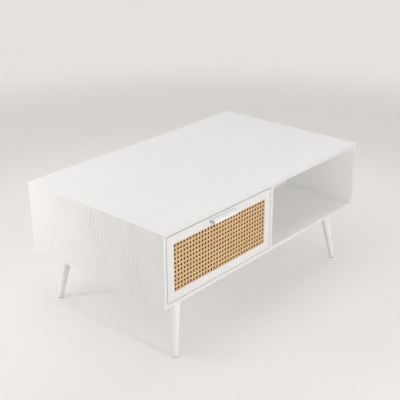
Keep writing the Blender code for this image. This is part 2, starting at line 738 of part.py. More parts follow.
clear_scene()
WHITE_PAINT = make_finish("white paint", (0.86, 0.85, 0.83), 0.45)
WHITE_METAL = make_finish("white coated metal", (0.84, 0.83, 0.81), 0.35)
DRAWER_BOARD = make_finish("drawer board", (0.80, 0.79, 0.76), 0.55)
DARK_BOARD = make_finish("dark board", (0.05, 0.03, 0.02), 0.8)
CANE = make_finish("cane", (0.62, 0.38, 0.18), 0.5)
STEEL = make_finish("zinc-plated steel", (0.62, 0.62, 0.63), 0.3, 1.0)
FELT = make_finish("felt", (0.70, 0.69, 0.67), 0.9)

make_carcass()
CORNERS = (
    ("front_left", (-1, -1)), ("front_right", (1, -1)), ("rear_left", (-1, 1)), ("rear_right", (1, 1)))
for corner_name, corner_signs in CORNERS:
    make_leg(corner_name, corner_signs)
make_drawer("front_drawer", -1, 0.0)
make_drawer("rear_drawer", 1, math.pi)
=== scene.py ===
# %% [markdown]
# A white storage coffee table, dressed in Blender.
#
# The real table is a low box of thin foil-wrapped boards on four splayed round
# legs. Each long side has a drawer with a woven cane front, and an open shelf.
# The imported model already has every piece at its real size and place. This
# lesson loads it, keeps the pieces whose plain shape is right, and models finer
# ones for what a visitor sees and touches. Lengths are in metres. X runs along
# the table, Y from the front to the rear, and Z up.

import json
import math

import bmesh
import bpy
from mathutils import Matrix, Vector, noise

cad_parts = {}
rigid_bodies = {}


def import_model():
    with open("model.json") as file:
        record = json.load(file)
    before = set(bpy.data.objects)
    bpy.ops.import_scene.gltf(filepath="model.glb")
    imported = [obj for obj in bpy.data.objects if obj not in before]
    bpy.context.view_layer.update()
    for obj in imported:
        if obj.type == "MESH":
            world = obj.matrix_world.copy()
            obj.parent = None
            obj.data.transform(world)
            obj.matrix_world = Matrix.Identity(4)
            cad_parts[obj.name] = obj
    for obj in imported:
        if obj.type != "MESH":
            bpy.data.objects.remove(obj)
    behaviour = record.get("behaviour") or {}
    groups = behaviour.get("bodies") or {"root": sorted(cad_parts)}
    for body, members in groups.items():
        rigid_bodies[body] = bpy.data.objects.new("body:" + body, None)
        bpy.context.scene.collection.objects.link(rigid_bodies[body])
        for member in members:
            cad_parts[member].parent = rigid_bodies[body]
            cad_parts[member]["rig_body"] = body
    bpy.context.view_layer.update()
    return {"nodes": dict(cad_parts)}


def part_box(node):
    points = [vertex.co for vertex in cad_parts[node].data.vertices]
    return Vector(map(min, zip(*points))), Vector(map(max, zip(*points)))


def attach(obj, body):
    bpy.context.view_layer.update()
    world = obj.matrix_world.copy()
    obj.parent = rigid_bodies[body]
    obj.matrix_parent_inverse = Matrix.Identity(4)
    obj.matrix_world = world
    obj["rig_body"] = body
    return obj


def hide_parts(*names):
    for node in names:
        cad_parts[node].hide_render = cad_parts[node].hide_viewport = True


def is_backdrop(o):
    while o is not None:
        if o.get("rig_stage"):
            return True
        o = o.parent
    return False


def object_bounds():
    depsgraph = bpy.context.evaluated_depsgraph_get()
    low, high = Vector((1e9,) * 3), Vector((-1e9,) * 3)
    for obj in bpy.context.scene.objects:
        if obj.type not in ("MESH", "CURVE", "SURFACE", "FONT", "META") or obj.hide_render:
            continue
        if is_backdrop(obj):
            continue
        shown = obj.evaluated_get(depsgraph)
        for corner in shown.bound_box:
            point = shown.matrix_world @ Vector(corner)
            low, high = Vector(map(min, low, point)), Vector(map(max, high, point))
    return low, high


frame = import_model()

# %% [markdown]
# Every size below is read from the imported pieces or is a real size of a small
# thing that they leave out, such as a screw head. So the finer pieces fit the
# packed ones with no measuring by eye.

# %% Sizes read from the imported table
ring_low = Vector((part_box("left_end_panel")[0].x, *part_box("bottom_panel")[0][1:]))
ring_high = Vector((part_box("right_end_panel")[1].x, *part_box("top_panel")[1][1:]))
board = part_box("front_divider")[1].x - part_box("front_divider")[0].x
floor_to_body = ring_low.z
seam = 0.0001
UP = Vector((0.0, 0.0, 1.0))
print(f"box {ring_high.x - ring_low.x:.3f} by {ring_high.y - ring_low.y:.3f}, boards {board:.4f}")

# %% [markdown]
# An operator works on all that is selected, and loading leaves every piece
# selected. So each step starts by clearing the selection, and in edit mode the
# faces and edges are picked in code, by where they are and which way they face.

# %% Selecting in code
SLACK = 0.0001


def select_only(piece):
    """Makes one piece the only selected and the active one."""
    bpy.ops.object.select_all(action="DESELECT")
    piece.select_set(True)
    bpy.context.view_layer.objects.active = piece


def edit(piece, kind="FACE", test=lambda item: True):
    """Opens a piece in edit mode, with what passes a test selected, or all of it."""
    select_only(piece)
    bpy.ops.object.mode_set(mode="EDIT")
    bpy.ops.mesh.select_mode(type=kind)
    bpy.ops.mesh.select_all(action="DESELECT")
    shape = bmesh.from_edit_mesh(piece.data)
    for item in {"VERT": shape.verts, "EDGE": shape.edges, "FACE": shape.faces}[kind]:
        if test(item):
            item.select_set(True)
    bmesh.update_edit_mesh(piece.data)


def done():
    """Goes back to object mode."""
    bpy.ops.object.mode_set(mode="OBJECT")


def runs_along(edge, axis):
    """Says whether an edge is parallel to an axis."""
    line = edge.verts[1].co - edge.verts[0].co
    return abs(line[axis]) > 0.999 * line.length


def middle(edge):
    """Gives an edge's middle point."""
    return (edge.verts[0].co + edge.verts[1].co) / 2


def near(first, second, reach=SLACK):
    """Says whether two lengths are the same, within a reach."""
    return abs(first - second) < reach


# %% [markdown]
# Boards, rails and plates all start as a cube primitive, stretched between two
# corners. Its scale is applied at once, because bevels on a stretched object
# come out uneven, and its origin goes to the table's origin.

# %% Blocks, bevels and cuts
def settle(piece):
    """Applies a piece's place, turn and scale, which takes its origin to the table's."""
    select_only(piece)
    bpy.ops.object.transform_apply(location=True, rotation=True, scale=True)


def add_primitive(name, operator, **settings):
    """Adds a primitive, with nothing else selected, and settles it."""
    bpy.ops.object.select_all(action="DESELECT")
    operator(**settings)
    piece = bpy.context.active_object
    piece.name = name
    settle(piece)
    return piece


def add_block(name, low, high):
    """Adds a cube and stretches it between two corners."""
    low = Vector(low)
    high = Vector(high)
    return add_primitive(
        name, bpy.ops.mesh.primitive_cube_add, size=1.0, location=(low + high) / 2, scale=high - low)


def bevel(piece, width, steps, test):
    """Rounds the edges that pass a test."""
    edit(piece, "EDGE", test)
    bpy.ops.mesh.bevel(offset=width, segments=steps, profile=0.5, affect="EDGES", clamp_overlap=True)
    done()


def apply_modifiers(piece):
    """Applies all of a piece's modifiers, in order."""
    select_only(piece)
    for step in list(piece.modifiers):
        bpy.ops.object.modifier_apply(modifier=step.name)


def ease_edges(piece, width, steps=2, angle=40):
    """Rounds every edge that is sharper than an angle."""
    step = piece.modifiers.new("Eased edges", "BEVEL")
    step.width = width
    step.segments = steps
    step.limit_method = "ANGLE"
    step.angle_limit = math.radians(angle)
    apply_modifiers(piece)


def carve(piece, cutter, operation="DIFFERENCE"):
    """Cuts a piece with another, or joins them, and removes the other."""
    step = piece.modifiers.new("Cut", "BOOLEAN")
    step.operation = operation
    step.solver = "EXACT"
    step.material_mode = "TRANSFER"
    step.object = cutter
    apply_modifiers(piece)
    bpy.data.objects.remove(cutter)


def smooth(piece, angle=30):
    """Shades a piece smooth, except across edges sharper than an angle."""
    select_only(piece)
    bpy.ops.object.shade_smooth_by_angle(angle=math.radians(angle))


def slice_off(piece, point, normal, fill=True):
    """Cuts away what lies on the side of a plane that its normal points to."""
    edit(piece)
    bpy.ops.mesh.bisect(plane_co=point, plane_no=normal, use_fill=fill, clear_outer=True)
    done()


# %% [markdown]
# What repeats on the table is modelled once. The rear drawer is the front one
# turned half round, and the legs mirror each other, so a copy is turned or
# mirrored about the table's origin. Mirroring turns a mesh inside out, so the
# copy's faces are made to point outwards again.

# %% Copies, joins and hand-over
def turn_outwards(piece):
    """Makes all of a piece's faces point outwards."""
    edit(piece)
    bpy.ops.mesh.normals_make_consistent(inside=False)
    done()


def copy_piece(piece, name, mirror=(1, 1), turn=0.0):
    """Copies a piece, then mirrors or turns the copy about the table's origin."""
    select_only(piece)
    bpy.ops.object.duplicate(linked=False)
    twin = bpy.context.active_object
    twin.name = name
    twin.scale = (*mirror, 1)
    twin.rotation_euler = (0.0, 0.0, turn)
    settle(twin)
    if mirror[0] * mirror[1] < 0:
        turn_outwards(twin)
    return twin


def join(pieces, name):
    """Joins pieces into the first one."""
    bpy.ops.object.select_all(action="DESELECT")
    for piece in pieces:
        piece.select_set(True)
    bpy.context.view_layer.objects.active = pieces[0]
    bpy.ops.object.join()
    pieces[0].name = name
    return pieces[0]


def hand_over(piece, finish, slot, body, *nodes):
    """Gives a piece its finish, its body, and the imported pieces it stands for."""
    if finish is not None:
        piece.data.materials.clear()
        piece.data.materials.append(finish)
    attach(piece, body)
    if nodes:
        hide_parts(*nodes)
    print(f"{piece.name}: {len(piece.data.polygons)} faces on {body}")


# %% [markdown]
# Finishes come next. Several of them share an effect: the foil's embossed wood
# grain, the fine tooth of a painted surface, fibres or brush marks that run one
# way, and a little dust on what faces up. Each effect is a node group that gives
# out only masks and heights, and every material feeds it its own values. The
# shader itself stays in the material, where the export can read it.

# %% Building node groups
def add_node(tree, kind, inputs=(), **settings):
    """Adds a node, sets it, and feeds its inputs with values or other sockets."""
    node = tree.nodes.new("ShaderNode" + kind)
    for name, value in settings.items():
        setattr(node, name, value)
    for name, value in dict(inputs).items():
        if isinstance(value, bpy.types.NodeSocket):
            tree.links.new(value, node.inputs[name])
        else:
            node.inputs[name].default_value = value
    return node


def start_group(name, numbers, outputs):
    """Starts a group with a Vector input and named number inputs and outputs."""
    group = bpy.data.node_groups.new(name, "ShaderNodeTree")
    group.interface.new_socket("Vector", in_out="INPUT", socket_type="NodeSocketVector")
    for label, value in numbers.items():
        socket = group.interface.new_socket(label, in_out="INPUT", socket_type="NodeSocketFloat")
        socket.default_value = value
    for label in outputs:
        group.interface.new_socket(label, in_out="OUTPUT", socket_type="NodeSocketFloat")
    given = group.nodes.new("NodeGroupInput").outputs
    result = group.nodes.new("NodeGroupOutput").inputs
    return group, given, result


def give_out(group, result, **values):
    """Links what a group has worked out to its outputs."""
    for label, value in values.items():
        group.links.new(value, result[label])
    print("group:", group.name)
    return group


# %% [markdown]
# Some nodes come again and again: one that turns or squeezes the space that a
# pattern is drawn in, a noise, a range spread over another, a sum, and mixes of
# two values or two colours by a mask. Each gets a short name.

# %% Short names for common nodes
def map_space(tree, place, **inputs):
    """Moves, turns or squeezes the space that a pattern is drawn in."""
    return add_node(tree, "Mapping", {"Vector": place, **inputs}).outputs["Vector"]


def add_noise(tree, place, scale, detail=2.0, roughness=0.5, distortion=0.0):
    """Adds a cloudy noise."""
    return add_node(tree, "TexNoise", {
        "Vector": place, "Scale": scale, "Detail": detail, "Roughness": roughness,
        "Distortion": distortion}).outputs["Fac"]


def stretch_range(tree, value, low=0.0, high=1.0, start=0.0, end=1.0, soft=False):
    """Spreads what goes from a start to an end between a low and a high value."""
    return add_node(tree, "MapRange", {
        "Value": value, "From Min": start, "From Max": end, "To Min": low, "To Max": high},
        interpolation_type="SMOOTHSTEP" if soft else "LINEAR").outputs["Result"]


def calculate(tree, operation, first, second=0.0):
    """Works out one sum."""
    return add_node(tree, "Math", {0: first, 1: second}, operation=operation).outputs[0]


def mix_values(tree, factor, first, second):
    """Mixes two values by a mask."""
    inputs = {"Factor": factor, "A": first, "B": second}
    return add_node(tree, "Mix", inputs, data_type="FLOAT").outputs["Result"]


def mix_colours(tree, factor, first, second):
    """Mixes two colours by a mask."""
    blend = add_node(tree, "Mix", {"Factor": factor}, data_type="RGBA")
    for socket, colour in ((blend.inputs[6], first), (blend.inputs[7], second)):
        if isinstance(colour, bpy.types.NodeSocket):
            tree.links.new(colour, socket)
        else:
            socket.default_value = (*colour, 1.0)
    return blend.outputs[2]


# %% [markdown]
# The boards are wrapped in white foil that is pressed with an oak pattern: short
# pores that run with the grain, and broad wavy rings. Between the rings lie
# furrows, deep in some patches and faint in others, as in a tree that grew
# unevenly. A shift lays a faint patch where the photo shows one. The group takes
# a vector whose Z runs along the grain and whose X runs across it.

# %% Embossed grain
QUIET_PATCH = (0.46, 0.0, 0.0)


def make_grain_group():
    """Builds the height of pores, rings and furrows pressed into a foil."""
    group, given, result = start_group(
        "Embossed grain", {"Pore Scale": 420.0, "Ring Scale": 30.0, "Patch Scale": 9.0},
        ("Height", "Furrows"))
    pore_space = map_space(group, given["Vector"], Scale=(1.0, 1.0, 0.05))
    streaks = add_noise(
        group, pore_space, given["Pore Scale"], detail=3.0, roughness=0.6, distortion=0.15)
    pores = stretch_range(group, streaks, start=0.40, end=0.62, soft=True)
    ring_space = map_space(group, given["Vector"], Scale=(1.0, 1.0, 0.40))
    rings = add_node(group, "TexWave", {
        "Vector": ring_space, "Scale": given["Ring Scale"], "Distortion": 12.0, "Detail": 3.0,
        "Detail Scale": 1.0, "Detail Roughness": 0.6},
        wave_type="BANDS", bands_direction="X", wave_profile="SIN").outputs["Fac"]
    valleys = stretch_range(group, rings, start=0.55, end=0.05, soft=True)
    patch_space = map_space(group, given["Vector"], Location=QUIET_PATCH, Scale=(1.0, 1.0, 0.30))
    growth = add_noise(group, patch_space, given["Patch Scale"])
    deep = stretch_range(group, growth, low=0.12, start=0.42, end=0.60)
    furrows = calculate(group, "MULTIPLY", valleys, deep)
    ridges = calculate(group, "SUBTRACT", 1.0, furrows)
    return give_out(group, result, Height=mix_values(group, 0.7, pores, ridges), Furrows=furrows)


embossed_grain = make_grain_group()

# %% [markdown]
# Sprayed paint, powder coat and laminate are never quite flat. A fine noise
# gives them tooth, and a broad one lets their sheen drift a little.

# %% Surface tooth
def make_tooth_group():
    """Builds a fine height and a broad drift."""
    group, given, result = start_group(
        "Surface tooth", {"Tooth Scale": 900.0, "Drift Scale": 6.0}, ("Height", "Drift"))
    tooth = add_noise(group, given["Vector"], given["Tooth Scale"])
    drift = add_noise(group, given["Vector"], given["Drift Scale"])
    return give_out(group, result, Height=tooth, Drift=drift)


surface_tooth = make_tooth_group()

# %% [markdown]
# Cane, felt, the near-black backing board and rolled steel all show thin lines
# that run one way.
# The vector's X runs along them here, and is squeezed so that they come out long.

# %% Fibres
def make_fibre_group():
    """Builds long thin streaks along the vector's X."""
    group, given, result = start_group(
        "Fibres", {"Fibre Scale": 1500.0, "Tone Scale": 160.0}, ("Height", "Streaks", "Tone"))
    thin = map_space(group, given["Vector"], Scale=(0.04, 1.0, 1.0))
    broad = map_space(group, given["Vector"], Scale=(0.12, 1.0, 1.0))
    streaks = add_noise(group, thin, given["Fibre Scale"], detail=3.0)
    tone = add_noise(group, broad, given["Tone Scale"], detail=1.0)
    clear = stretch_range(group, streaks, start=0.35, end=0.65)
    return give_out(group, result, Height=streaks, Streaks=clear, Tone=tone)


fibres = make_fibre_group()

# %% [markdown]
# A thin veil of dust lies on what faces up, in soft patches. It shows as a
# slightly duller sheen, and hardly as a colour.

# %% Dust
def make_dust_group():
    """Builds a patchy mask on the faces that look up."""
    group, given, result = start_group("Settled dust", {"Patch Scale": 14.0}, ("Mask",))
    facing = add_node(group, "NewGeometry").outputs["Normal"]
    upward = add_node(group, "SeparateXYZ", {"Vector": facing}).outputs["Z"]
    patches = add_noise(group, given["Vector"], given["Patch Scale"], detail=4.0)
    mask = calculate(group, "MULTIPLY", stretch_range(group, upward, start=0.6),
                     stretch_range(group, patches, start=0.35, end=0.75))
    return give_out(group, result, Mask=mask)


settled_dust = make_dust_group()

# %% [markdown]
# A material is a Principled shader whose base colour drifts between two close
# colours, whose roughness follows the drift and the dust, and whose normal comes
# from one or two bumps. What is the same all over, such as the metallic value,
# is set on the shader's own socket.

# %% Putting a material together
def start_material(name, metallic=0.0, **constants):
    """Starts a material and gives it, its tree and Object coordinates."""
    material = bpy.data.materials.new(name)
    material.use_nodes = True
    tree = material.node_tree
    shader = tree.nodes["Principled BSDF"]
    shader.inputs["Metallic"].default_value = metallic
    for label, value in constants.items():
        shader.inputs[label.replace("_", " ")].default_value = value
    place = add_node(tree, "TexCoord").outputs["Object"]
    return material, tree, place


def use_group(tree, group, place, **numbers):
    """Places a group in a material with its own values."""
    node = tree.nodes.new("ShaderNodeGroup")
    node.node_tree = group
    tree.links.new(place, node.inputs["Vector"])
    for label, value in numbers.items():
        node.inputs[label.replace("_", " ")].default_value = value
    return node.outputs


def add_bump(tree, height, distance, below=None):
    """Raises a surface by a height, on top of another bump if there is one."""
    inputs = {"Height": height, "Distance": distance, "Strength": 1.0}
    if below is not None:
        inputs["Normal"] = below
    return add_node(tree, "Bump", inputs).outputs["Normal"]


def feed(material, **sockets):
    """Feeds the inputs of a material's shader, and gives the material."""
    tree = material.node_tree
    for label, socket in sockets.items():
        tree.links.new(socket, tree.nodes["Principled BSDF"].inputs[label.replace("_", " ")])
    return material


# %% [markdown]
# The white foil is one finish, laid in two directions. On the ends the grain
# stands upright and is deep. On the long boards and the drawer fronts it runs
# along X and is faint, and inside the box it is fainter still. Its white is
# painted in lit and shaded copies: the long boards' outsides and the inside of
# the box are painted lighter, as painted light, and the boards' narrow edges are
# painted darker, as painted shade. The drawer fronts are partly their own greyer
# white and partly painted shade. Legs, pulls and drawer boxes are plain. A
# Mapping node turns the pattern so that its Z lies along the grain.

# %% White foil and white paint
QUARTER = math.pi / 2
UPRIGHT_GRAIN = (0.0, 0.0, QUARTER)
LONG_GRAIN = (0.0, -QUARTER, QUARTER)
# The inside whites are painted lighter than the outside foil: painted light in the box.
INSIDE_PAINTED_LIGHT_WHITES = ((0.935, 0.930, 0.915), (0.920, 0.912, 0.895))
FOIL_TOOTH = 0.00001
DUSTY_FOIL = 0.58
DUSTY_PAINT = 0.6


def make_foil(name, white, shade, turn, emboss):
    """Makes foil whose grain runs along the turned pattern's Z."""
    material, tree, place = start_material(name)
    grain = use_group(tree, embossed_grain, map_space(tree, place, Rotation=turn))
    tooth = use_group(tree, surface_tooth, place)
    dust = use_group(tree, settled_dust, place)
    sheen = stretch_range(tree, tooth["Drift"], 0.40, 0.50)
    fine = add_bump(tree, tooth["Height"], FOIL_TOOTH)
    return feed(
        material, Base_Color=mix_colours(tree, grain["Furrows"], white, shade),
        Roughness=mix_values(tree, dust["Mask"], sheen, DUSTY_FOIL),
        Normal=add_bump(tree, grain["Height"], emboss, fine))


def make_paint(name, colour, shade, roughness, tooth_scale, tooth_depth, metallic=0.0):
    """Makes sprayed paint, powder coat, laminate or plating."""
    material, tree, place = start_material(name, metallic)
    tooth = use_group(tree, surface_tooth, place, Tooth_Scale=tooth_scale)
    dust = use_group(tree, settled_dust, place)
    sheen = stretch_range(tree, tooth["Drift"], roughness - 0.05, roughness + 0.05)
    return feed(
        material, Base_Color=mix_colours(tree, tooth["Drift"], colour, shade),
        Roughness=mix_values(tree, dust["Mask"], sheen, DUSTY_PAINT),
        Normal=add_bump(tree, tooth["Height"], tooth_depth))


foil_upright = make_foil(
    "foil, upright grain", (0.866, 0.857, 0.843), (0.775, 0.762, 0.742), UPRIGHT_GRAIN, emboss=0.0005)
# The long boards' outer white is painted lighter than the ends' white: painted light.
foil_long_painted_light = make_foil(
    "foil, long grain", (0.930, 0.926, 0.918), (0.922, 0.918, 0.909), LONG_GRAIN, emboss=0.0003)
foil_inside_painted_light = make_foil("inside foil, upright grain", *INSIDE_PAINTED_LIGHT_WHITES, UPRIGHT_GRAIN, emboss=0.0001)
foil_inside_long_painted_light = make_foil("inside foil, long grain", *INSIDE_PAINTED_LIGHT_WHITES, LONG_GRAIN, emboss=0.0001)
# The drawer fronts' white is partly their own greyer paint and partly painted shade. On the boards' narrow
# edges it is painted shade only.
foil_front_painted_shade = make_foil(
    "foil, drawer front", (0.805, 0.803, 0.798), (0.790, 0.786, 0.780), LONG_GRAIN, emboss=0.0002)
# Grey for the pull's end caps, and painted shade inside its hollow.
pull_grey_hollow_shade = make_paint(
    "grey pull, painted hollow shade", (0.66, 0.645, 0.62), (0.61, 0.595, 0.57),
    roughness=0.45, tooth_scale=1100.0, tooth_depth=0.00004)
leg_paint = make_paint(
    "leg paint", (0.925, 0.916, 0.900), (0.910, 0.899, 0.882),
    roughness=0.38, tooth_scale=500.0, tooth_depth=0.00003)
# A white powder coat, painted a little lighter, as painted light on its top in the shade of the top board.
pull_coat_painted_light = make_paint(
    "pull powder coat", (0.905, 0.90, 0.89), (0.89, 0.885, 0.872),
    roughness=0.34, tooth_scale=1400.0, tooth_depth=0.00003)
drawer_laminate = make_paint(
    "drawer laminate", (0.80, 0.79, 0.765), (0.78, 0.77, 0.74),
    roughness=0.52, tooth_scale=700.0, tooth_depth=0.00004)
print("white finishes:", foil_upright.name, foil_long_painted_light.name, leg_paint.name, pull_coat_painted_light.name)

# %% [markdown]
# Cane is the skin of rattan, golden and glossy, with fine lines along each
# strand and a tone that changes from strand to strand. The strands run in four
# directions, so the lines can't follow an axis: each strand carries its own map,
# with X along it and Y across the whole sheet, and the fibres read that. Where a
# strand dives behind its neighbours its colour is painted darker, as painted
# shade, so the colour also follows how far out of the sheet a point lies.

# %% Cane, backing board, steel and felt
CANE_MAP = "strands"
RECESS_SHADE_FROM = 0.0004
RECESS_SHADE_TO = -0.0005


def make_cane():
    """Makes the glossy skin of rattan."""
    material, tree, place = start_material("natural cane", Coat_Weight=0.4, Coat_Roughness=0.22)
    strands = add_node(tree, "UVMap", uv_map=CANE_MAP).outputs["UV"]
    lines = use_group(tree, fibres, strands, Fibre_Scale=2600.0, Tone_Scale=230.0)
    tone = stretch_range(tree, lines["Tone"], -0.6, 1.5)
    golden = mix_colours(tree, tone, (1.0, 0.755, 0.415), (0.75, 0.40, 0.135))
    lined = stretch_range(tree, lines["Streaks"], 0.22, 0.0)
    brown = mix_colours(tree, lined, golden, (0.36, 0.18, 0.07))
    # Painted shade: the deeper a point lies in the sheet, the more of the dark brown below is mixed in.
    depth = add_node(tree, "SeparateXYZ", {"Vector": place}).outputs["Y"]
    outwards = calculate(tree, "ABSOLUTE", depth)
    painted_recess_shade = stretch_range(
        tree, outwards, 0.0, 0.85, sheet_depth + RECESS_SHADE_FROM, sheet_depth + RECESS_SHADE_TO, soft=True)
    tooth = use_group(tree, surface_tooth, place, Drift_Scale=40.0)
    return feed(
        material, Base_Color=mix_colours(tree, painted_recess_shade, brown, (0.15, 0.055, 0.018)),
        Roughness=stretch_range(tree, tooth["Drift"], 0.30, 0.48),
        Normal=add_bump(tree, lines["Height"], 0.00004))


def make_fibrous(name, colour, shade, turn, scale, depth, roughness, metallic=0.0):
    """Makes a surface with lines along the turned pattern's X."""
    material, tree, place = start_material(name, metallic)
    turned = map_space(tree, place, Rotation=turn)
    lines = use_group(tree, fibres, turned, Fibre_Scale=scale, Tone_Scale=scale / 8)
    tooth = use_group(tree, surface_tooth, place)
    sheen = stretch_range(tree, tooth["Drift"], roughness - 0.06, roughness + 0.06)
    return feed(
        material, Base_Color=mix_colours(tree, lines["Tone"], colour, shade),
        Roughness=mix_values(tree, 0.35, sheen, lines["Streaks"]),
        Normal=add_bump(tree, lines["Height"], depth))


def make_felt():
    """Makes pressed felt: short fibres matted in every direction."""
    material, tree, place = start_material("pressed felt", Sheen_Weight=0.3)
    curls = add_node(tree, "TexVoronoi", {"Vector": place, "Scale": 1800.0, "Randomness": 1.0},
                     feature="SMOOTH_F1")
    tooth = use_group(tree, surface_tooth, place, Tooth_Scale=2600.0, Drift_Scale=120.0)
    base = mix_colours(tree, tooth["Drift"], (0.66, 0.65, 0.63), (0.52, 0.51, 0.49))
    matted = add_bump(tree, curls.outputs["Distance"], 0.0002)
    return feed(
        material, Base_Color=base, Roughness=stretch_range(tree, tooth["Drift"], 0.85, 0.98),
        Normal=add_bump(tree, tooth["Height"], 0.0001, matted))


ALONG_Y = (0.0, 0.0, -QUARTER)
sheet_depth = -(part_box("front_drawer_cane_panel")[0].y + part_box("front_drawer_cane_panel")[1].y) / 2
cane = make_cane()
# The board behind the cane is near black, so the holes in the weave read dark.
dark_backing_board = make_fibrous(
    "near-black backing board", (0.034, 0.020, 0.014), (0.020, 0.012, 0.009), (0, 0, 0),
    scale=500.0, depth=0.0001, roughness=0.80)
rolled_zinc = make_fibrous(
    "rolled zinc steel", (0.66, 0.67, 0.68), (0.56, 0.57, 0.59), ALONG_Y,
    scale=1200.0, depth=0.00001, roughness=0.26, metallic=1.0)
plated_zinc = make_paint(
    "plated zinc steel", (0.66, 0.67, 0.69), (0.60, 0.61, 0.62),
    roughness=0.28, tooth_scale=1600.0, tooth_depth=0.00001, metallic=1.0)
bright_steel = make_paint(
    "bright ball steel", (0.74, 0.74, 0.75), (0.70, 0.70, 0.72),
    roughness=0.12, tooth_scale=600.0, tooth_depth=0.000002, metallic=1.0)
felt = make_felt()
print("other finishes:", cane.name, dark_backing_board.name, rolled_zinc.name, plated_zinc.name, felt.name)

# %% [markdown]
# The carcass is four boards that meet in mitres. On the real table one long
# panel is grooved and folded, so its corners are rounded alike from board to
# board. The same is done here: a square ring is made from one block, by
# insetting its two long faces and bridging them, its edges are rounded, and then
# four copies of it are sawn along the mitres. Two saw cuts a tenth of a
# millimetre apart leave the hairline seam.

# %% The ring that the boards are sawn from
CORNER_ROUND = 0.0016
EDGE_ROUND = 0.0007

ring = add_block("carcass_ring", ring_low, ring_high)
edit(ring, "FACE", lambda face: abs(face.normal.y) > 0.9)
bpy.ops.mesh.inset(thickness=board, depth=0.0, use_individual=True)
bpy.ops.mesh.bridge_edge_loops()
done()


def is_outer_corner(edge):
    """Finds the four long edges that run from the front to the rear outside."""
    spot = middle(edge)
    return runs_along(edge, 1) and abs(spot.x) > ring_high.x - 0.001


def is_rim(edge):
    """Finds the edges between the ring's two end planes and its sides."""
    facing = sorted(abs(face.normal.y) for face in edge.link_faces)
    return len(facing) == 2 and facing[0] < 0.1 and facing[1] > 0.9


bevel(ring, CORNER_ROUND, 5, is_outer_corner)
bevel(ring, EDGE_ROUND, 3, is_rim)
print(f"ring: {len(ring.data.polygons)} faces")

# %% Sawing the four boards
cavity_low = ring_low.z + board
cavity_high = ring_high.z - board
end_inside = ring_high.x - board
corner_low = Vector((ring_high.x, 0.0, ring_low.z))
corner_high = Vector((ring_high.x, 0.0, ring_high.z))


def is_inside(face):
    """Finds the faces of the ring that look into the box."""
    spot = face.center
    within = abs(spot.x) < end_inside + SLACK and cavity_low - SLACK < spot.z < cavity_high + SLACK
    return within and abs(face.normal.y) < 0.5


def cover(piece, finish, test):
    """Gives the faces that pass a test a further finish."""
    piece.data.materials.append(finish)
    for face in piece.data.polygons:
        if test(face):
            face.material_index = len(piece.data.materials) - 1


def paint_shade_on_edges(piece):
    """Paints shade on the narrow edges that look to the front and the rear, with the drawer front's darker
    foil.
    """
    cover(piece, foil_front_painted_shade, lambda face: abs(face.normal.y) > 0.25)


def saw_board(name, cuts, finish, inside_painted_light_finish, node):
    """Copies the ring and cuts away all but one of its boards."""
    piece = copy_piece(ring, name)
    for point, normal in cuts:
        shift = Vector(normal).normalized() * seam / 2
        slice_off(piece, Vector(point) - shift, normal)
    smooth(piece)
    hand_over(piece, finish, "white_paint", "table", node)
    cover(piece, inside_painted_light_finish, is_inside)
    paint_shade_on_edges(piece)


for name, side, node in (("top_board", 1, "top_panel"), ("bottom_board", -1, "bottom_panel")):
    corner = corner_high if side > 0 else corner_low
    far_corner = Vector((-corner.x, 0.0, corner.z))
    half_way = Vector((0.0, 0.0, (ring_low.z + ring_high.z) / 2))
    cuts = ((corner, (1, 0, -side)), (far_corner, (-1, 0, -side)), (half_way, (0, 0, -side)))
    saw_board(name, cuts, foil_long_painted_light, foil_inside_long_painted_light, node)
for name, side, node in (
        ("left_end_board", -1, "left_end_panel"), ("right_end_board", 1, "right_end_panel")):
    top = Vector((side * ring_high.x, 0.0, ring_high.z))
    low = Vector((side * ring_high.x, 0.0, ring_low.z))
    saw_board(name, ((top, (-side, 0, 1)), (low, (-side, 0, -1))), foil_upright, foil_inside_painted_light, node)
bpy.data.objects.remove(ring)

# %% [markdown]
# A lengthwise board stands in the middle of the box and closes the back of both
# sides, and a short divider on each side parts the drawer from the open shelf.
# They are plain boards, so they start as blocks, in the inside foil's painted
# lighter white. The dividers' edges are eased, and those that look out take the
# drawer front's foil, which is painted darker, as painted shade.

# %% Partition and dividers
for name, node, finish in (
        ("middle_board", "centre_partition", foil_inside_long_painted_light),
        ("front_divider_board", "front_divider", foil_inside_painted_light),
        ("rear_divider_board", "rear_divider", foil_inside_painted_light)):
    low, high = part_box(node)
    room = UP * (cavity_high - high.z - seam)
    piece = add_block(name, low - room, high + room)
    is_divider = node != "centre_partition"
    if is_divider:
        bevel(piece, EDGE_ROUND, 3, lambda edge: not runs_along(edge, 1))
    smooth(piece)
    hand_over(piece, finish, "white_paint", "table", node)
    if is_divider:
        paint_shade_on_edges(piece)

# %% [markdown]
# Each leg is turned from wood: a round taper, cut level at the top, where it
# meets its steel plate, and at the foot, where it stands on a felt pad. It leans
# towards its corner. The middle of the plate and the middle of the pad give the
# line that it follows. One leg is made, longer than needed, then cut level,
# eased round its two rims and copied to the other corners in mirror.

# %% The first leg
TOP_DIAMETER = 0.034
FOOT_DIAMETER = 0.019
LEG_SIDES = 96
RIM_ROUND = 0.0008

pad_low, pad_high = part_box("front_left_foot_pad")
plate_low, plate_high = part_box("front_left_leg_plate")
leg_low, leg_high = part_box("front_left_leg")
foot = (pad_low + pad_high) / 2
foot.z = 0.0
head = (plate_low + plate_high) / 2
head.z = floor_to_body
line = (head - foot).normalized()


def leg_point(height):
    """Gives the point of the leg's middle line at a height."""
    return foot + (head - foot) * height / floor_to_body


def leg_radius(height):
    """Gives the leg's radius at a height."""
    share = height / floor_to_body
    return (FOOT_DIAMETER + (TOP_DIAMETER - FOOT_DIAMETER) * share) / 2


def is_level_rim(edge):
    """Finds the edges round a level top or foot."""
    return any(abs(face.normal.z) > 0.99 for face in edge.link_faces)


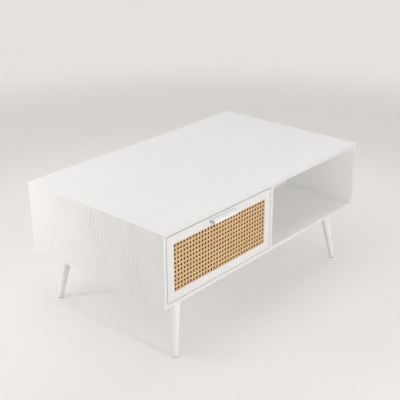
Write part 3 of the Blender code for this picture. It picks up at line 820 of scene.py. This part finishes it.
spare = FOOT_DIAMETER
start = leg_point(leg_low.z - spare)
end = leg_point(leg_high.z + spare)
leg = add_primitive(
    "leg", bpy.ops.mesh.primitive_cone_add, vertices=LEG_SIDES,
    radius1=leg_radius(leg_low.z - spare), radius2=leg_radius(leg_high.z + spare),
    depth=(end - start).length, location=(start + end) / 2,
    rotation=UP.rotation_difference(line).to_euler())
slice_off(leg, (0.0, 0.0, leg_high.z), UP)
slice_off(leg, (0.0, 0.0, leg_low.z), -UP)
bevel(leg, RIM_ROUND, 3, is_level_rim)
smooth(leg, 40)
print(f"leg: {(head - foot).length:.4f} long on its middle line")

# %% [markdown]
# The leg plate is a pressed steel square with rounded corners and four
# countersunk screws. It is seen only from below. A screw is turned from an
# outline of radii and heights, and a cross is cut into its head by two crossed
# blocks. There are two kinds: one with a flat head for plates and rails, and one
# with a domed head that sits on the surface.

# %% Cross-headed screws
CROSS_WIDTH = 0.0009
TIP_RADIUS = 0.0004
TIP_LENGTH = 0.003
SHANK_RADIUS = 0.0019
HEAD_RADIUS = 0.0041
HEAD_DEPTH = 0.0022
HEAD_EDGE = 0.0003
FLAT_SCREW_LENGTH = 0.0105
PAN_RADIUS = 0.004
PAN_HEIGHT = 0.0024
PAN_DOME = ((1.0, 0.45), (0.93, 0.75), (0.74, 0.93), (0.5, 1.0))


def follow_outline(outline, extrude):
    """Extrudes what is selected along an outline of (radius, height) pairs."""
    for (old_radius, old_height), (radius, height) in zip(outline, outline[1:]):
        extrude(TRANSFORM_OT_translate={"value": (0.0, 0.0, height - old_height)})
        share = radius / old_radius
        bpy.ops.transform.resize(value=(share, share, 1.0), center_override=(0.0, 0.0, height))


def add_turned(name, rings, sides, place=(0.0, 0.0, 0.0)):
    """Stacks cone frustums from (radius, height) pairs into one turned piece."""
    piece = add_primitive(
        name, bpy.ops.mesh.primitive_circle_add, vertices=sides, radius=rings[0][0], fill_type="NGON")
    edit(piece)
    bpy.ops.transform.translate(value=(0.0, 0.0, rings[0][1]))
    follow_outline(rings, bpy.ops.mesh.extrude_region_move)
    done()
    turn_outwards(piece)
    piece.location = place
    settle(piece)
    return piece


def cut_cross(piece, top, reach, depth):
    """Cuts a cross into the top of a screw that stands along Z at the origin."""
    arm = Vector((reach, CROSS_WIDTH / 2, depth))
    other = Vector((CROSS_WIDTH / 2, reach, depth))
    middle_point = Vector((0.0, 0.0, top))
    for number, size in enumerate((arm, other)):
        carve(piece, add_block(f"cross_{number}", middle_point - size, middle_point + size))


def add_pan_screw(name, radius, length, sides):
    """Makes a screw whose domed head stands on the level of the origin."""
    dome = [(PAN_RADIUS * wide, PAN_HEIGHT * high) for wide, high in PAN_DOME]
    screw = add_turned(name, [(radius, -length), (radius, 0.0), (PAN_RADIUS, 0.0), *dome], sides)
    cut_cross(screw, PAN_HEIGHT, reach=0.0021, depth=0.0011)
    smooth(screw, 35)
    return screw


def place_screws(name, model, spots, facing):
    """Sets copies of a screw on a surface, heads facing one way, joined into one piece."""
    made = []
    for number, spot in enumerate(spots):
        twin = copy_piece(model, f"{name}_{number}")
        twin.rotation_euler = UP.rotation_difference(Vector(facing)).to_euler()
        twin.location = spot
        settle(twin)
        made.append(twin)
    return join(made, name)


flat_screw = add_turned("flat_screw", (
    (TIP_RADIUS, -FLAT_SCREW_LENGTH), (SHANK_RADIUS, TIP_LENGTH - FLAT_SCREW_LENGTH),
    (SHANK_RADIUS, -HEAD_DEPTH), (HEAD_RADIUS, -HEAD_EDGE), (HEAD_RADIUS, 0.0)), 24)
cut_cross(flat_screw, 0.0, reach=0.0022, depth=0.0012)
smooth(flat_screw, 35)
pan_screw = add_pan_screw("pan_screw", radius=0.0018, length=0.004, sides=24)
print(f"screws: {len(flat_screw.data.polygons)} and {len(pan_screw.data.polygons)} faces")

# %% The first plate and its screws
PLATE_STEEL = 0.0025
PLATE_CORNER = 0.008
SCREW_INSET = 0.010
PLATE_ROUND = 0.0004
BOSS_RADIUS = 0.008
SINK_RADIUS = 0.0024
SINK_DEPTH = 0.0020
SINK_PLAY = 0.0003
PAST_TOP = 0.001
PAST_FACE = 0.0001
PAD_ROUND = 0.0005

plate_top = plate_low.z + PLATE_STEEL
plate = add_block("plate", plate_low, (plate_high.x, plate_high.y, plate_top))
bevel(plate, PLATE_CORNER, 8, lambda edge: runs_along(edge, 2))
ease_edges(plate, PLATE_ROUND, 2)
boss_height = plate_high.z - plate_top
boss = add_turned("boss", (
    (BOSS_RADIUS, -PLATE_STEEL / 2), (BOSS_RADIUS, boss_height)), 48, (head.x, head.y, plate_top))
carve(plate, boss, "UNION")
spots = [
    (x, y, plate_low.z) for x in (plate_low.x + SCREW_INSET, plate_high.x - SCREW_INSET)
    for y in (plate_low.y + SCREW_INSET, plate_high.y - SCREW_INSET)]
for spot in spots:
    carve(plate, add_turned("sink", (
        (SINK_RADIUS, PLATE_STEEL + PAST_TOP), (SINK_RADIUS, SINK_DEPTH),
        (HEAD_RADIUS + SINK_PLAY, -PAST_FACE)), 24, spot))
smooth(plate, 35)
plate_screws = place_screws("plate_screws", flat_screw, spots, -UP)

# %% The first felt pad
pad_radius = (pad_high.x - pad_low.x) / 2
pad = add_turned("pad", ((pad_radius, 0.0), (pad_radius, pad_high.z)), 64, foot)
bevel(pad, PAD_ROUND, 3, is_level_rim)
smooth(pad, 40)

# %% Legs, plates, screws and pads at all four corners
for corner, mirror in (
        ("front_left", (1, 1)), ("front_right", (-1, 1)), ("rear_left", (1, -1)), ("rear_right", (-1, -1))):
    for model, suffix, finish, slot, nodes in (
            (leg, "turned_leg", leg_paint, "white_paint", (f"{corner}_leg",)),
            (plate, "mounting_plate", plated_zinc, "zinc_steel", (f"{corner}_leg_plate",)),
            (plate_screws, "plate_screws", plated_zinc, "zinc_steel", ()),
            (pad, "felt_pad", felt, "felt", (f"{corner}_foot_pad",))):
        piece = copy_piece(model, f"{corner}_{suffix}", mirror)
        hand_over(piece, finish, slot, "table", *nodes)
for model in (leg, plate, plate_screws, pad):
    bpy.data.objects.remove(model)

# %% [markdown]
# The drawer front is a painted frame round the cane, routed from one board. Its
# front face is inset by the rail's width. At the back a wider pocket is sunk for
# the board behind the cane, and the pocket's floor is inset again. Bridging the
# two inset faces opens the frame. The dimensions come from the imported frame,
# cane and backing board.

# %% The drawer front's frame
PLAY = 0.0003
POCKET_DEPTH = 0.006
FRONT_ROUND = 0.0009

frame_low, frame_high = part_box("front_drawer_front_frame")
cane_low, cane_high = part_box("front_drawer_cane_panel")
rail = cane_low.z - frame_low.z - PLAY
backing_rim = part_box("front_drawer_cane_backing")[0].z - frame_low.z

front = add_block("front", frame_low, frame_high)
edit(front, "FACE", lambda face: face.normal.y > 0.9)
bpy.ops.mesh.inset(thickness=backing_rim - PLAY)
bpy.ops.mesh.extrude_region_move(TRANSFORM_OT_translate={"value": (0.0, -POCKET_DEPTH, 0.0)})
bpy.ops.mesh.inset(thickness=rail - backing_rim + PLAY)
done()
edit(front, "FACE", lambda face: face.normal.y < -0.9)
bpy.ops.mesh.inset(thickness=rail)
done()


def is_field(face):
    """Finds the two faces that the opening goes through."""
    spot = face.calc_center_median()
    inside = frame_low.z + rail < min(vertex.co.z for vertex in face.verts) + 2 * SLACK
    return abs(face.normal.y) > 0.9 and inside and near(spot.z, (frame_low.z + frame_high.z) / 2)


edit(front, "FACE", is_field)
bpy.ops.mesh.bridge_edge_loops()
done()
ease_edges(front, FRONT_ROUND, 3, 60)
smooth(front, 35)
print(f"front: {len(front.data.polygons)} faces, rails {rail:.4f} wide")

# %% [markdown]
# The cane is woven, not printed. Pairs of upright strands and pairs of level
# strands cross each other over and under, and single slanted strands run both
# ways between them. That leaves an eight-sided hole in every square of the net.
#
# One repeat of a strand is a strip with a crowned face, open at both ends. Array
# modifiers lay it end to end and then side by side, and the ends are welded.
# Then each point is moved towards the front or the back by a rule: a strand of a
# pair rises over one neighbour and dives under the next, and a slanted strand
# rises where it crosses the level pairs and dives at the upright ones, or the
# other way round. A slow noise bends the rows a little, as in real weaving. Its
# seed is set, since without one it takes the time of day, and no two runs match.
# Last, the strands are cut to the field, and their cut ends are closed.

# %% The weave's sizes
COLUMNS = 32
ROWS = 11
STRAND_WIDTH = 0.0024
STRAND_THICKNESS = 0.00055
CROWN = 0.00022
PAIR_OFFSET = 0.00135
PAIR_WAVE = 0.00032
SLANT_WAVE = 0.00062
WANDER = 0.00022
WANDER_SEED = 5
STEPS = 8
EXACT = 0.000001

field_low = Vector((cane_low.x, cane_low.z))
field_high = Vector((cane_high.x, cane_high.z))
pitch_x = (field_high.x - field_low.x) / COLUMNS
pitch_z = (field_high.y - field_low.y) / ROWS
sheet_middle = (cane_low.y + cane_high.y) / 2
noise.seed_set(WANDER_SEED)
print(f"net: {pitch_x * 1000:.2f} by {pitch_z * 1000:.2f} mm")

# %% One strip and its rows
def add_strip(name, start, reach):
    """Adds one repeat of a strand from a start, along a reach in X and Z."""
    front_plane = CROWN - STRAND_THICKNESS / 2
    strip = add_block(
        name, (0.0, front_plane, -STRAND_WIDTH / 2),
        (reach.length, STRAND_THICKNESS / 2, STRAND_WIDTH / 2))
    edit(strip, "FACE", lambda face: abs(face.normal.x) > 0.9)
    bpy.ops.mesh.delete(type="ONLY_FACE")
    done()
    edit(strip, "EDGE", lambda edge: runs_along(edge, 2) and near(middle(edge).y, front_plane, EXACT))
    bpy.ops.mesh.subdivide(number_cuts=1)
    done()
    edit(strip, "VERT", lambda corner: near(corner.co.z, 0.0, EXACT))
    bpy.ops.transform.translate(value=(0.0, -CROWN, 0.0))
    done()
    edit(strip, "EDGE", lambda edge: runs_along(edge, 0))
    bpy.ops.mesh.subdivide(number_cuts=STEPS - 1)
    done()
    strip.rotation_euler = (0.0, -math.atan2(reach.y, reach.x), 0.0)
    strip.location = (start.x, sheet_middle, start.y)
    settle(strip)
    return strip


def lay_rows(strip, along, count_along, across, count_across):
    """Lays a strip end to end and welds it, then repeats the row side by side."""
    for step, count, weld in ((along, count_along, True), (across, count_across, False)):
        array = strip.modifiers.new("Rows", "ARRAY")
        array.count = count
        array.use_relative_offset = False
        array.use_constant_offset = True
        array.constant_offset_displace = (step[0], 0.0, step[1])
        array.use_merge_vertices = weld
        array.merge_threshold = 0.00002
    apply_modifiers(strip)


def map_strands(strip, reach):
    """Gives a set of strands its map: X along the strands, Y across them, in metres."""
    along = reach.normalized()
    across = Vector((-along.y, along.x))
    layer = strip.data.uv_layers.new(name=CANE_MAP)
    for loop in strip.data.loops:
        corner = strip.data.vertices[loop.vertex_index].co
        spot = Vector((corner.x, corner.z))
        layer.data[loop.index].uv = (spot.dot(along), spot.dot(across))


# %% Weaving, trimming and joining
def weave(strip, rise):
    """Moves each point by the weave's rule, and lets the rows wander a little."""
    for corner in strip.data.vertices:
        across = (corner.co.x - field_low.x) / pitch_x
        up = (corner.co.z - field_low.y) / pitch_z
        drift = noise.noise_vector(Vector((across * 0.9, up * 0.9, 3.0)))
        corner.co.y += rise(across, up)
        corner.co.x += WANDER * drift.x
        corner.co.z += WANDER * drift.z


def trim(strip):
    """Cuts a set of strands to the field and closes their ends, in two goes."""
    for corner, normal in (
            (field_low, (-1, 0, 0)), (field_high, (1, 0, 0)), (field_low, -UP), (field_high, UP)):
        slice_off(strip, (corner.x, 0.0, corner.y), normal, fill=False)
    edit(strip)
    bpy.ops.mesh.fill_holes(sides=0)
    done()
    edit(strip, "EDGE", lambda edge: edge.is_boundary)
    bpy.ops.mesh.edge_face_add()
    done()


def make_strands(start, along, count_along, across, count_across, rise):
    """Makes one set of strands: a strip, its rows, their map, the weave and the trim."""
    strip = add_strip("strands", start, along)
    lay_rows(strip, along, count_along, across, count_across)
    map_strands(strip, along)
    weave(strip, rise)
    trim(strip)
    strands.append(strip)


def pair_rise(place, hand):
    """Gives the height of one strand of a pair, at a place counted in squares."""
    inside = (place + 0.5) % 1.0 - 0.5
    share = min(abs(inside) / PEAK_SHARE, (0.5 - abs(inside)) / (0.5 - PEAK_SHARE))
    return -hand * math.copysign(PAIR_WAVE * math.sin(QUARTER * share), inside)


def slant_rise(place, hand):
    """Gives the height of a slanted strand: a squared-off wave, one a square."""
    wave = math.tanh(SQUARENESS * math.cos(2 * math.pi * (place - 0.5))) / math.tanh(SQUARENESS)
    return -hand * SLANT_WAVE * wave


PEAK_SHARE = PAIR_OFFSET / pitch_x
SQUARENESS = 2.4
level = Vector((pitch_x, 0.0))
upright = Vector((0.0, pitch_z))
strands = []
for hand in (-1, 1):
    level_start = field_low + upright.normalized() * hand * PAIR_OFFSET
    upright_start = field_low + level.normalized() * hand * PAIR_OFFSET
    make_strands(level_start, level, COLUMNS, upright, ROWS + 1, lambda across, up: pair_rise(across, hand))
    make_strands(upright_start, upright, ROWS, level, COLUMNS + 1, lambda across, up: pair_rise(up, -hand))
first_slant = level * (0.5 - ROWS)
for reach, start, hand in (
        (level + upright, field_low + first_slant, 1),
        (level - upright, field_low + upright * ROWS + first_slant, -1)):
    make_strands(start, reach, ROWS, level, COLUMNS + ROWS, lambda across, up: slant_rise(across, hand))
net = join(strands, "net")
smooth(net, 50)
print(f"net: {sum(len(face.vertices) - 2 for face in net.data.polygons)} triangles")

# %% [markdown]
# The pull is a short length of channel, open below, so that the fingers reach up
# into it, and closed by a grey cap at each end. It starts as a block, its outer
# bend is bevelled, and a smaller block with a rounded roof is cut out of it from
# below, short of both ends. The inside takes the caps' grey as well, as painted
# shade in the hollow: a cut's new faces take the finish of the block that cuts
# them, and the ends are picked by their normals. Two screws come through the
# drawer front from behind, so both pieces are drilled.

# %% The pull
PULL_WALL = 0.0016
PULL_FLANGE = 0.003
PULL_END = 0.0015
PULL_BEND = 0.0024
PULL_INNER_BEND = 0.0008
PULL_ROUND = 0.00025
SPARE = 0.002

pull_low, pull_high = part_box("front_drawer_pull")
pull = add_block("pull", pull_low, pull_high)
bevel(pull, PULL_BEND, 6, lambda edge: runs_along(edge, 0)
      and near(middle(edge).y, pull_low.y) and near(middle(edge).z, pull_high.z))
hollow = add_block(
    "hollow", (pull_low.x + PULL_END, pull_low.y + PULL_WALL, pull_low.z - SPARE),
    (pull_high.x - PULL_END, pull_high.y - PULL_FLANGE, pull_high.z - PULL_WALL))
bevel(hollow, PULL_INNER_BEND, 3, lambda edge: runs_along(edge, 0) and middle(edge).z > pull_low.z)
pull.data.materials.append(pull_coat_painted_light)
hollow.data.materials.append(pull_grey_hollow_shade)
carve(pull, hollow)
ease_edges(pull, PULL_ROUND, 2, 60)
for face in pull.data.polygons:
    if abs(face.normal.x) > 0.9:
        face.material_index = 1

# %% Screws through the front
PULL_SCREW_RADIUS = 0.002
DRILL_RADIUS = 0.0023
DRILL_LEAD = 0.0004

pull_screws = []
for side in ("left", "right"):
    low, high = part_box(f"front_drawer_pull_screw_{side}")
    axis_point = Vector(((low.x + high.x) / 2, frame_high.y, (low.z + high.z) / 2))
    shank = frame_high.y - low.y
    screw = add_pan_screw("pull_screw", PULL_SCREW_RADIUS, shank, sides=32)
    pull_screws.append(place_screws(f"pull_screw_{side}", screw, (axis_point,), (0.0, 1.0, 0.0)))
    bpy.data.objects.remove(screw)
    for piece in (front, pull):
        drill = add_turned("drill", ((DRILL_RADIUS, 0.0), (DRILL_RADIUS, shank + SPARE)), 32)
        drill.rotation_euler = (-QUARTER, 0.0, 0.0)
        drill.location = axis_point - Vector((0.0, shank + DRILL_LEAD, 0.0))
        settle(drill)
        carve(piece, drill)
for piece in (front, pull):
    smooth(piece, 35)
print(f"pull: {len(pull.data.polygons)} faces")

# %% [markdown]
# Each drawer runs on two ball-bearing slides of rolled zinc steel. The outer
# rail is a channel whose lips hold the ball cage in, and the inner rail is a
# smaller channel screwed to the drawer. Both are made like the pull: a block
# with rounded bends, out of which a track and its mouth are cut. Bends are given
# in thicknesses of the steel. The balls show between the rails when the drawer
# is open.

# %% Rails and ball cages
RAIL_STEEL = 0.0012
RAIL_LIP = 0.0025
OUTER_BEND = 1.4
INNER_BEND = 0.5
CAGE_STEEL = 0.0008
BALL_SIDES = 14
BALLS_IN_A_ROW = 7
RAIL_SCREWS = 3


def add_channel(name, low, high, steel, opens, lip=0.0):
    """Makes a length of channel along Y that opens towards one side in X."""
    low = Vector(low)
    high = Vector(high)
    channel = add_block(name, low, high)
    bevel(channel, steel * OUTER_BEND, 3, lambda edge: runs_along(edge, 1))
    start = Vector((low.x + steel, low.y - SPARE, low.z + steel))
    end = Vector((high.x - steel, high.y + SPARE, high.z - steel))
    track = add_block("track", start, end)
    bevel(track, steel * INNER_BEND, 2, lambda edge: runs_along(edge, 1))
    carve(channel, track)
    start.z = low.z + steel + lip
    end.z = high.z - steel - lip
    if opens > 0:
        end.x = high.x + SPARE
    else:
        start.x = low.x - SPARE
    carve(channel, add_block("mouth", start, end))
    smooth(channel, 35)
    return channel


def spread_along(low, high, count):
    """Gives places spread evenly along Y."""
    return [low.y + (high.y - low.y) * (number + 0.5) / count for number in range(count)]


def make_slide(side_name):
    """Makes one slide of the front drawer: rails, cage, balls and screws."""
    made = {}
    outer_low, outer_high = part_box(f"front_drawer_slide_outer_{side_name}")
    inner_low, inner_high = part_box(f"front_drawer_slide_inner_{side_name}")
    cage_low, cage_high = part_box(f"front_drawer_ball_cage_{side_name}")
    opens = 1 if side_name == "left" else -1
    wall = outer_low.x if opens > 0 else outer_high.x
    web = inner_high.x if opens > 0 else inner_low.x
    level_middle = (outer_low.z + outer_high.z) / 2
    made["outer"] = add_channel("outer", outer_low, outer_high, RAIL_STEEL, opens, RAIL_LIP)
    made["inner"] = add_channel("inner", inner_low, inner_high, RAIL_STEEL, -opens)

    # The cage's strip lies level with the middle of the balls, which reach past it
    room = (outer_high.z - inner_high.z - RAIL_STEEL) / 2
    ball_radius = cage_high.z - inner_high.z - room
    strip_half = cage_high.z - level_middle - ball_radius + CAGE_STEEL / 2
    made["cage"] = add_channel(
        "cage", (cage_low.x, cage_low.y, level_middle - strip_half),
        (cage_high.x, cage_high.y, level_middle + strip_half), CAGE_STEEL, opens)
    ball_x = (cage_low.x + cage_high.x + opens * CAGE_STEEL) / 2
    balls = []
    for up in (-1, 1):
        for y in spread_along(cage_low, cage_high, BALLS_IN_A_ROW):
            balls.append(add_primitive(
                "ball", bpy.ops.mesh.primitive_uv_sphere_add, segments=BALL_SIDES,
                ring_count=BALL_SIDES // 2, radius=ball_radius,
                location=(ball_x, y, level_middle + up * (strip_half - CAGE_STEEL / 2))))
    made["balls"] = join(balls, "balls")
    smooth(made["balls"], 60)

    for name, x, low, high, facing in (
            ("wall_screws", wall + opens * RAIL_STEEL, outer_low, outer_high, opens),
            ("box_screws", web - opens * RAIL_STEEL, inner_low, inner_high, -opens)):
        spots = [(x, y, level_middle) for y in spread_along(low, high, RAIL_SCREWS)]
        made[name] = place_screws(name, flat_screw, spots, (facing, 0.0, 0.0))
    return made


slides = {side: make_slide(side) for side in ("left", "right")}
print("slides:", {side: sorted(parts) for side, parts in slides.items()})

# %% Screws inside the drawer
BOX_SCREW_INSET = 0.05
BOX_SCREW_RISE = 0.035

box_low, box_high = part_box("front_drawer_box_front")
box_screws = place_screws("front_screws", pan_screw, [
    (x, box_high.y, z)
    for x in (box_low.x + BOX_SCREW_INSET, box_high.x - BOX_SCREW_INSET)
    for z in (box_low.z + BOX_SCREW_RISE, box_high.z - BOX_SCREW_RISE)], (0.0, 1.0, 0.0))

# %% [markdown]
# Everything of the front drawer is now there once. The table is the same from
# behind, so each piece is handed over twice: as it is for the front drawer, and
# turned half round for the rear one. The boards of the drawer's box are right as
# they were packed, and only take a better finish.

# %% Handing both drawers over
def body_of(node):
    """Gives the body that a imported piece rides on."""
    return frame["nodes"][node]["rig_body"]


def finish_node(node, finish):
    """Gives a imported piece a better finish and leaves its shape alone."""
    for slot in frame["nodes"][node].material_slots:
        slot.link = "OBJECT"
        slot.material = finish


models = [
    (front, "front_moulding", foil_front_painted_shade, "white_paint", "front_frame"),
    (net, "woven_cane", cane, "cane", "cane_panel"),
    (pull, "bent_pull", None, "white_metal", "pull"),
    (pull_screws[0], "pull_machine_screw_left", plated_zinc, "zinc_steel", "pull_screw_left"),
    (pull_screws[1], "pull_machine_screw_right", plated_zinc, "zinc_steel", "pull_screw_right")]
for side, parts in slides.items():
    models += [
        (parts["outer"], f"outer_rail_{side}", rolled_zinc, "zinc_steel", f"slide_outer_{side}"),
        (parts["inner"], f"inner_rail_{side}", rolled_zinc, "zinc_steel", f"slide_inner_{side}"),
        (parts["cage"], f"cage_strip_{side}", rolled_zinc, "zinc_steel", f"ball_cage_{side}")]
loose = [(box_screws, "box_front_screws", plated_zinc, "front_frame")]
for side, parts in slides.items():
    loose += [
        (parts["balls"], f"balls_{side}", bright_steel, f"ball_cage_{side}"),
        (parts["wall_screws"], f"wall_screws_{side}", plated_zinc, f"slide_outer_{side}"),
        (parts["box_screws"], f"box_screws_{side}", plated_zinc, f"slide_inner_{side}")]
for drawer, turn in (("front_drawer", 0.0), ("rear_drawer", math.pi)):
    for model, name, finish, slot, node in models:
        piece = copy_piece(model, f"{drawer}_{name}", turn=turn)
        hand_over(piece, finish, slot, body_of(f"{drawer}_{node}"), f"{drawer}_{node}")
    for model, name, finish, node in loose:
        piece = copy_piece(model, f"{drawer}_{name}", turn=turn)
        hand_over(piece, finish, "zinc_steel", body_of(f"{drawer}_{node}"))
    for board_name in ("box_front", "box_left", "box_right", "box_back", "box_bottom"):
        finish_node(f"{drawer}_{board_name}", drawer_laminate)
    finish_node(f"{drawer}_cane_backing", dark_backing_board)
for corner in ("front_left", "front_right", "rear_left", "rear_right"):
    finish_node(f"{corner}_leg_bolt", plated_zinc)
for model in [row[0] for row in models + loose] + [flat_screw, pan_screw]:
    bpy.data.objects.remove(model)

# %% [markdown]
# The table stands on a plain pale floor that curves up into a wall all round, as
# in a photographer's cove, so that no edge of it shows from any side. It is
# turned from one outline: a disc, a quarter-round cove and a wall. Its paint is
# a little darker in a ring between the table and the wall, as in the photo: a
# painted falloff of the light round a painted pool of light about the table.

# %% Floor and cove
FLOOR_RADIUS = 3.0
FLOOR_SIDES = 128
COVE_RADIUS = 0.7
WALL_HEIGHT = 2.6
COVE_STEPS = 16
FLOOR_COLOUR = (0.868, 0.842, 0.82)
FALLOFF_COLOUR = (0.76, 0.735, 0.71)
WALL_COLOUR = (0.875, 0.855, 0.84)
FLOOR_GLOW = (0.85, 0.818, 0.79)
FALLOFF_GLOW = (0.745, 0.715, 0.685)
WALL_GLOW = (0.855, 0.835, 0.82)
POOL_RADIUS = 1.0
POOL_END = 1.8
WALL_START = 2.1
WALL_END = 3.2

cove = add_primitive(
    "studio_floor", bpy.ops.mesh.primitive_circle_add, vertices=FLOOR_SIDES, radius=FLOOR_RADIUS,
    fill_type="NGON")
profile = [(FLOOR_RADIUS, 0.0)]
for step in range(1, COVE_STEPS + 1):
    turn = QUARTER * step / COVE_STEPS
    profile.append((FLOOR_RADIUS + COVE_RADIUS * math.sin(turn), COVE_RADIUS * (1 - math.cos(turn))))
profile.append((FLOOR_RADIUS + COVE_RADIUS, WALL_HEIGHT))
edit(cove, "EDGE")
follow_outline(profile, bpy.ops.mesh.extrude_edges_move)
bpy.ops.mesh.select_all(action="SELECT")
bpy.ops.mesh.normals_make_consistent(inside=True)
done()
smooth(cove, 30)
cove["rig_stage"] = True


def make_cove_paint():
    """Makes matt studio paint whose own glow, which only the eye meets, softens the shadows."""
    material, tree, place = start_material("studio paint")
    tooth = use_group(tree, surface_tooth, place, Tooth_Scale=60.0, Drift_Scale=0.6)
    flat = map_space(tree, place, Scale=(1.0, 1.0, 0.0))
    radius = add_node(tree, "VectorMath", {0: flat}, operation="LENGTH").outputs["Value"]
    # Painted falloff: the floor's paint and glow darken from the pool of light round the table out to the
    # far ring.
    away = stretch_range(tree, radius, start=POOL_RADIUS, end=POOL_END, soft=True)
    up_wall = stretch_range(tree, radius, start=WALL_START, end=WALL_END, soft=True)
    colour, glow_colour = (
        mix_colours(tree, up_wall, mix_colours(tree, away, near_one, falloff_one), wall_one)
        for near_one, falloff_one, wall_one in (
            (FLOOR_COLOUR, FALLOFF_COLOUR, WALL_COLOUR), (FLOOR_GLOW, FALLOFF_GLOW, WALL_GLOW)))
    feed(material, Base_Color=colour, Roughness=stretch_range(tree, tooth["Height"], 0.80, 0.90))
    glow = add_node(tree, "Emission", {"Color": glow_colour})
    rays = add_node(tree, "LightPath").outputs
    seen = rays["Is Camera Ray"]
    for other in ("Is Glossy Ray", "Is Transmission Ray"):
        seen = calculate(tree, "MAXIMUM", seen, rays[other])
    share = calculate(tree, "MULTIPLY", seen, stretch_range(tree, up_wall, 0.43, 0.6))
    mixed = add_node(tree, "MixShader", {
        0: share, 1: tree.nodes["Principled BSDF"].outputs[0], 2: glow.outputs[0]})
    tree.links.new(mixed.outputs[0], tree.nodes["Material Output"].inputs["Surface"])
    return material


cove.data.materials.clear()
cove.data.materials.append(make_cove_paint())
print("floor:", len(cove.data.polygons), "faces")

# %% [markdown]
# The light is even, as in a white studio: large soft boxes overhead, to both
# sides, behind and in front, and a small one close to the left end, which is the
# brightest part of that side. Another small one, low in front, looks into the
# open shelf and gives the legs their shadows. A pale world fills in.

# %% Lights
def add_softbox(name, place, side, power):
    """Adds a square light that looks at the table and doesn't show in the picture."""
    light = bpy.data.lights.new(name, "AREA")
    light.shape = "SQUARE"
    light.size = side
    light.energy = power
    lamp = bpy.data.objects.new(name, light)
    lamp.location = place
    lamp.rotation_euler = (table_middle - Vector(place)).to_track_quat("-Z", "Y").to_euler()
    lamp.visible_camera = False
    bpy.context.scene.collection.objects.link(lamp)
    return lamp


table_middle = Vector((0.0, 0.0, 0.25))
softboxes = [add_softbox(*values) for values in (
    ("overhead_softbox", (0.0, 0.0, 5.0), 3.0, 27.5),
    ("high_left_softbox", (-2.0, 0.6, 3.6), 2.0, 33.0),
    ("high_right_softbox", (2.4, -0.2, 3.4), 2.0, 18.0),
    ("high_rear_softbox", (0.2, 2.6, 2.4), 1.5, 11.0),
    ("high_front_softbox", (0.3, -2.8, 2.0), 1.4, 5.6),
    ("low_front_softbox", (-0.25, -2.3, 0.65), 0.2, 12.8),
    ("left_end_softbox", (-1.3, 0.85, 0.6), 0.15, 3.7))]

WORLD_STRENGTH = 0.3
world = bpy.data.worlds.new("studio_fill")
bpy.context.scene.world = world
world.use_nodes = True
fill = world.node_tree.nodes["Background"]
fill.inputs["Color"].default_value = (1.0, 0.99, 0.975, 1.0)
fill.inputs["Strength"].default_value = WORLD_STRENGTH
print("lights:", [lamp.name for lamp in softboxes])

# %% [markdown]
# The camera stands where the photograph was taken from. Its place, its turn, a
# slight roll and the length of its lens were worked out from the corners of the
# table's box. The lens is in pixels of a picture 400 wide, and the sensor is
# 36 mm wide.

# %% Camera
CAMERA_PLACE = Vector((-1.93246, -1.71975, 1.42345))
AZIMUTH = math.radians(-48.1909)
ELEVATION = math.radians(23.4905)
ROLL = math.radians(-0.4303)
LENS_PIXELS = 814.402
PICTURE_WIDTH = 400
SENSOR_WIDTH = 36.0

ahead = Vector((
    -math.sin(AZIMUTH) * math.cos(ELEVATION), math.cos(AZIMUTH) * math.cos(ELEVATION),
    -math.sin(ELEVATION)))
across = Vector((math.cos(AZIMUTH), math.sin(AZIMUTH), 0.0))
above = across.cross(ahead)
right = across * math.cos(ROLL) + above * math.sin(ROLL)
over = above * math.cos(ROLL) - across * math.sin(ROLL)
lens = bpy.data.cameras.new("photo_camera")
lens.sensor_fit = "HORIZONTAL"
lens.sensor_width = SENSOR_WIDTH
lens.lens = LENS_PIXELS / PICTURE_WIDTH * SENSOR_WIDTH
camera = bpy.data.objects.new("photo_camera", lens)
camera.matrix_world = Matrix((right, over, -ahead)).transposed().to_4x4()
camera.location = CAMERA_PLACE
bpy.context.scene.collection.objects.link(camera)
bpy.context.scene.camera = camera
bpy.context.scene.view_settings.view_transform = "Standard"
print(f"camera: {CAMERA_PLACE.length:.3f} from the table's middle")

# %% [markdown]
# The finer pieces must not make the table larger than the imported one. The box
# round all that is shown, with the floor left out, is worked out at the end.

# %% Sizes and the end
bpy.context.view_layer.update()
low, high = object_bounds()
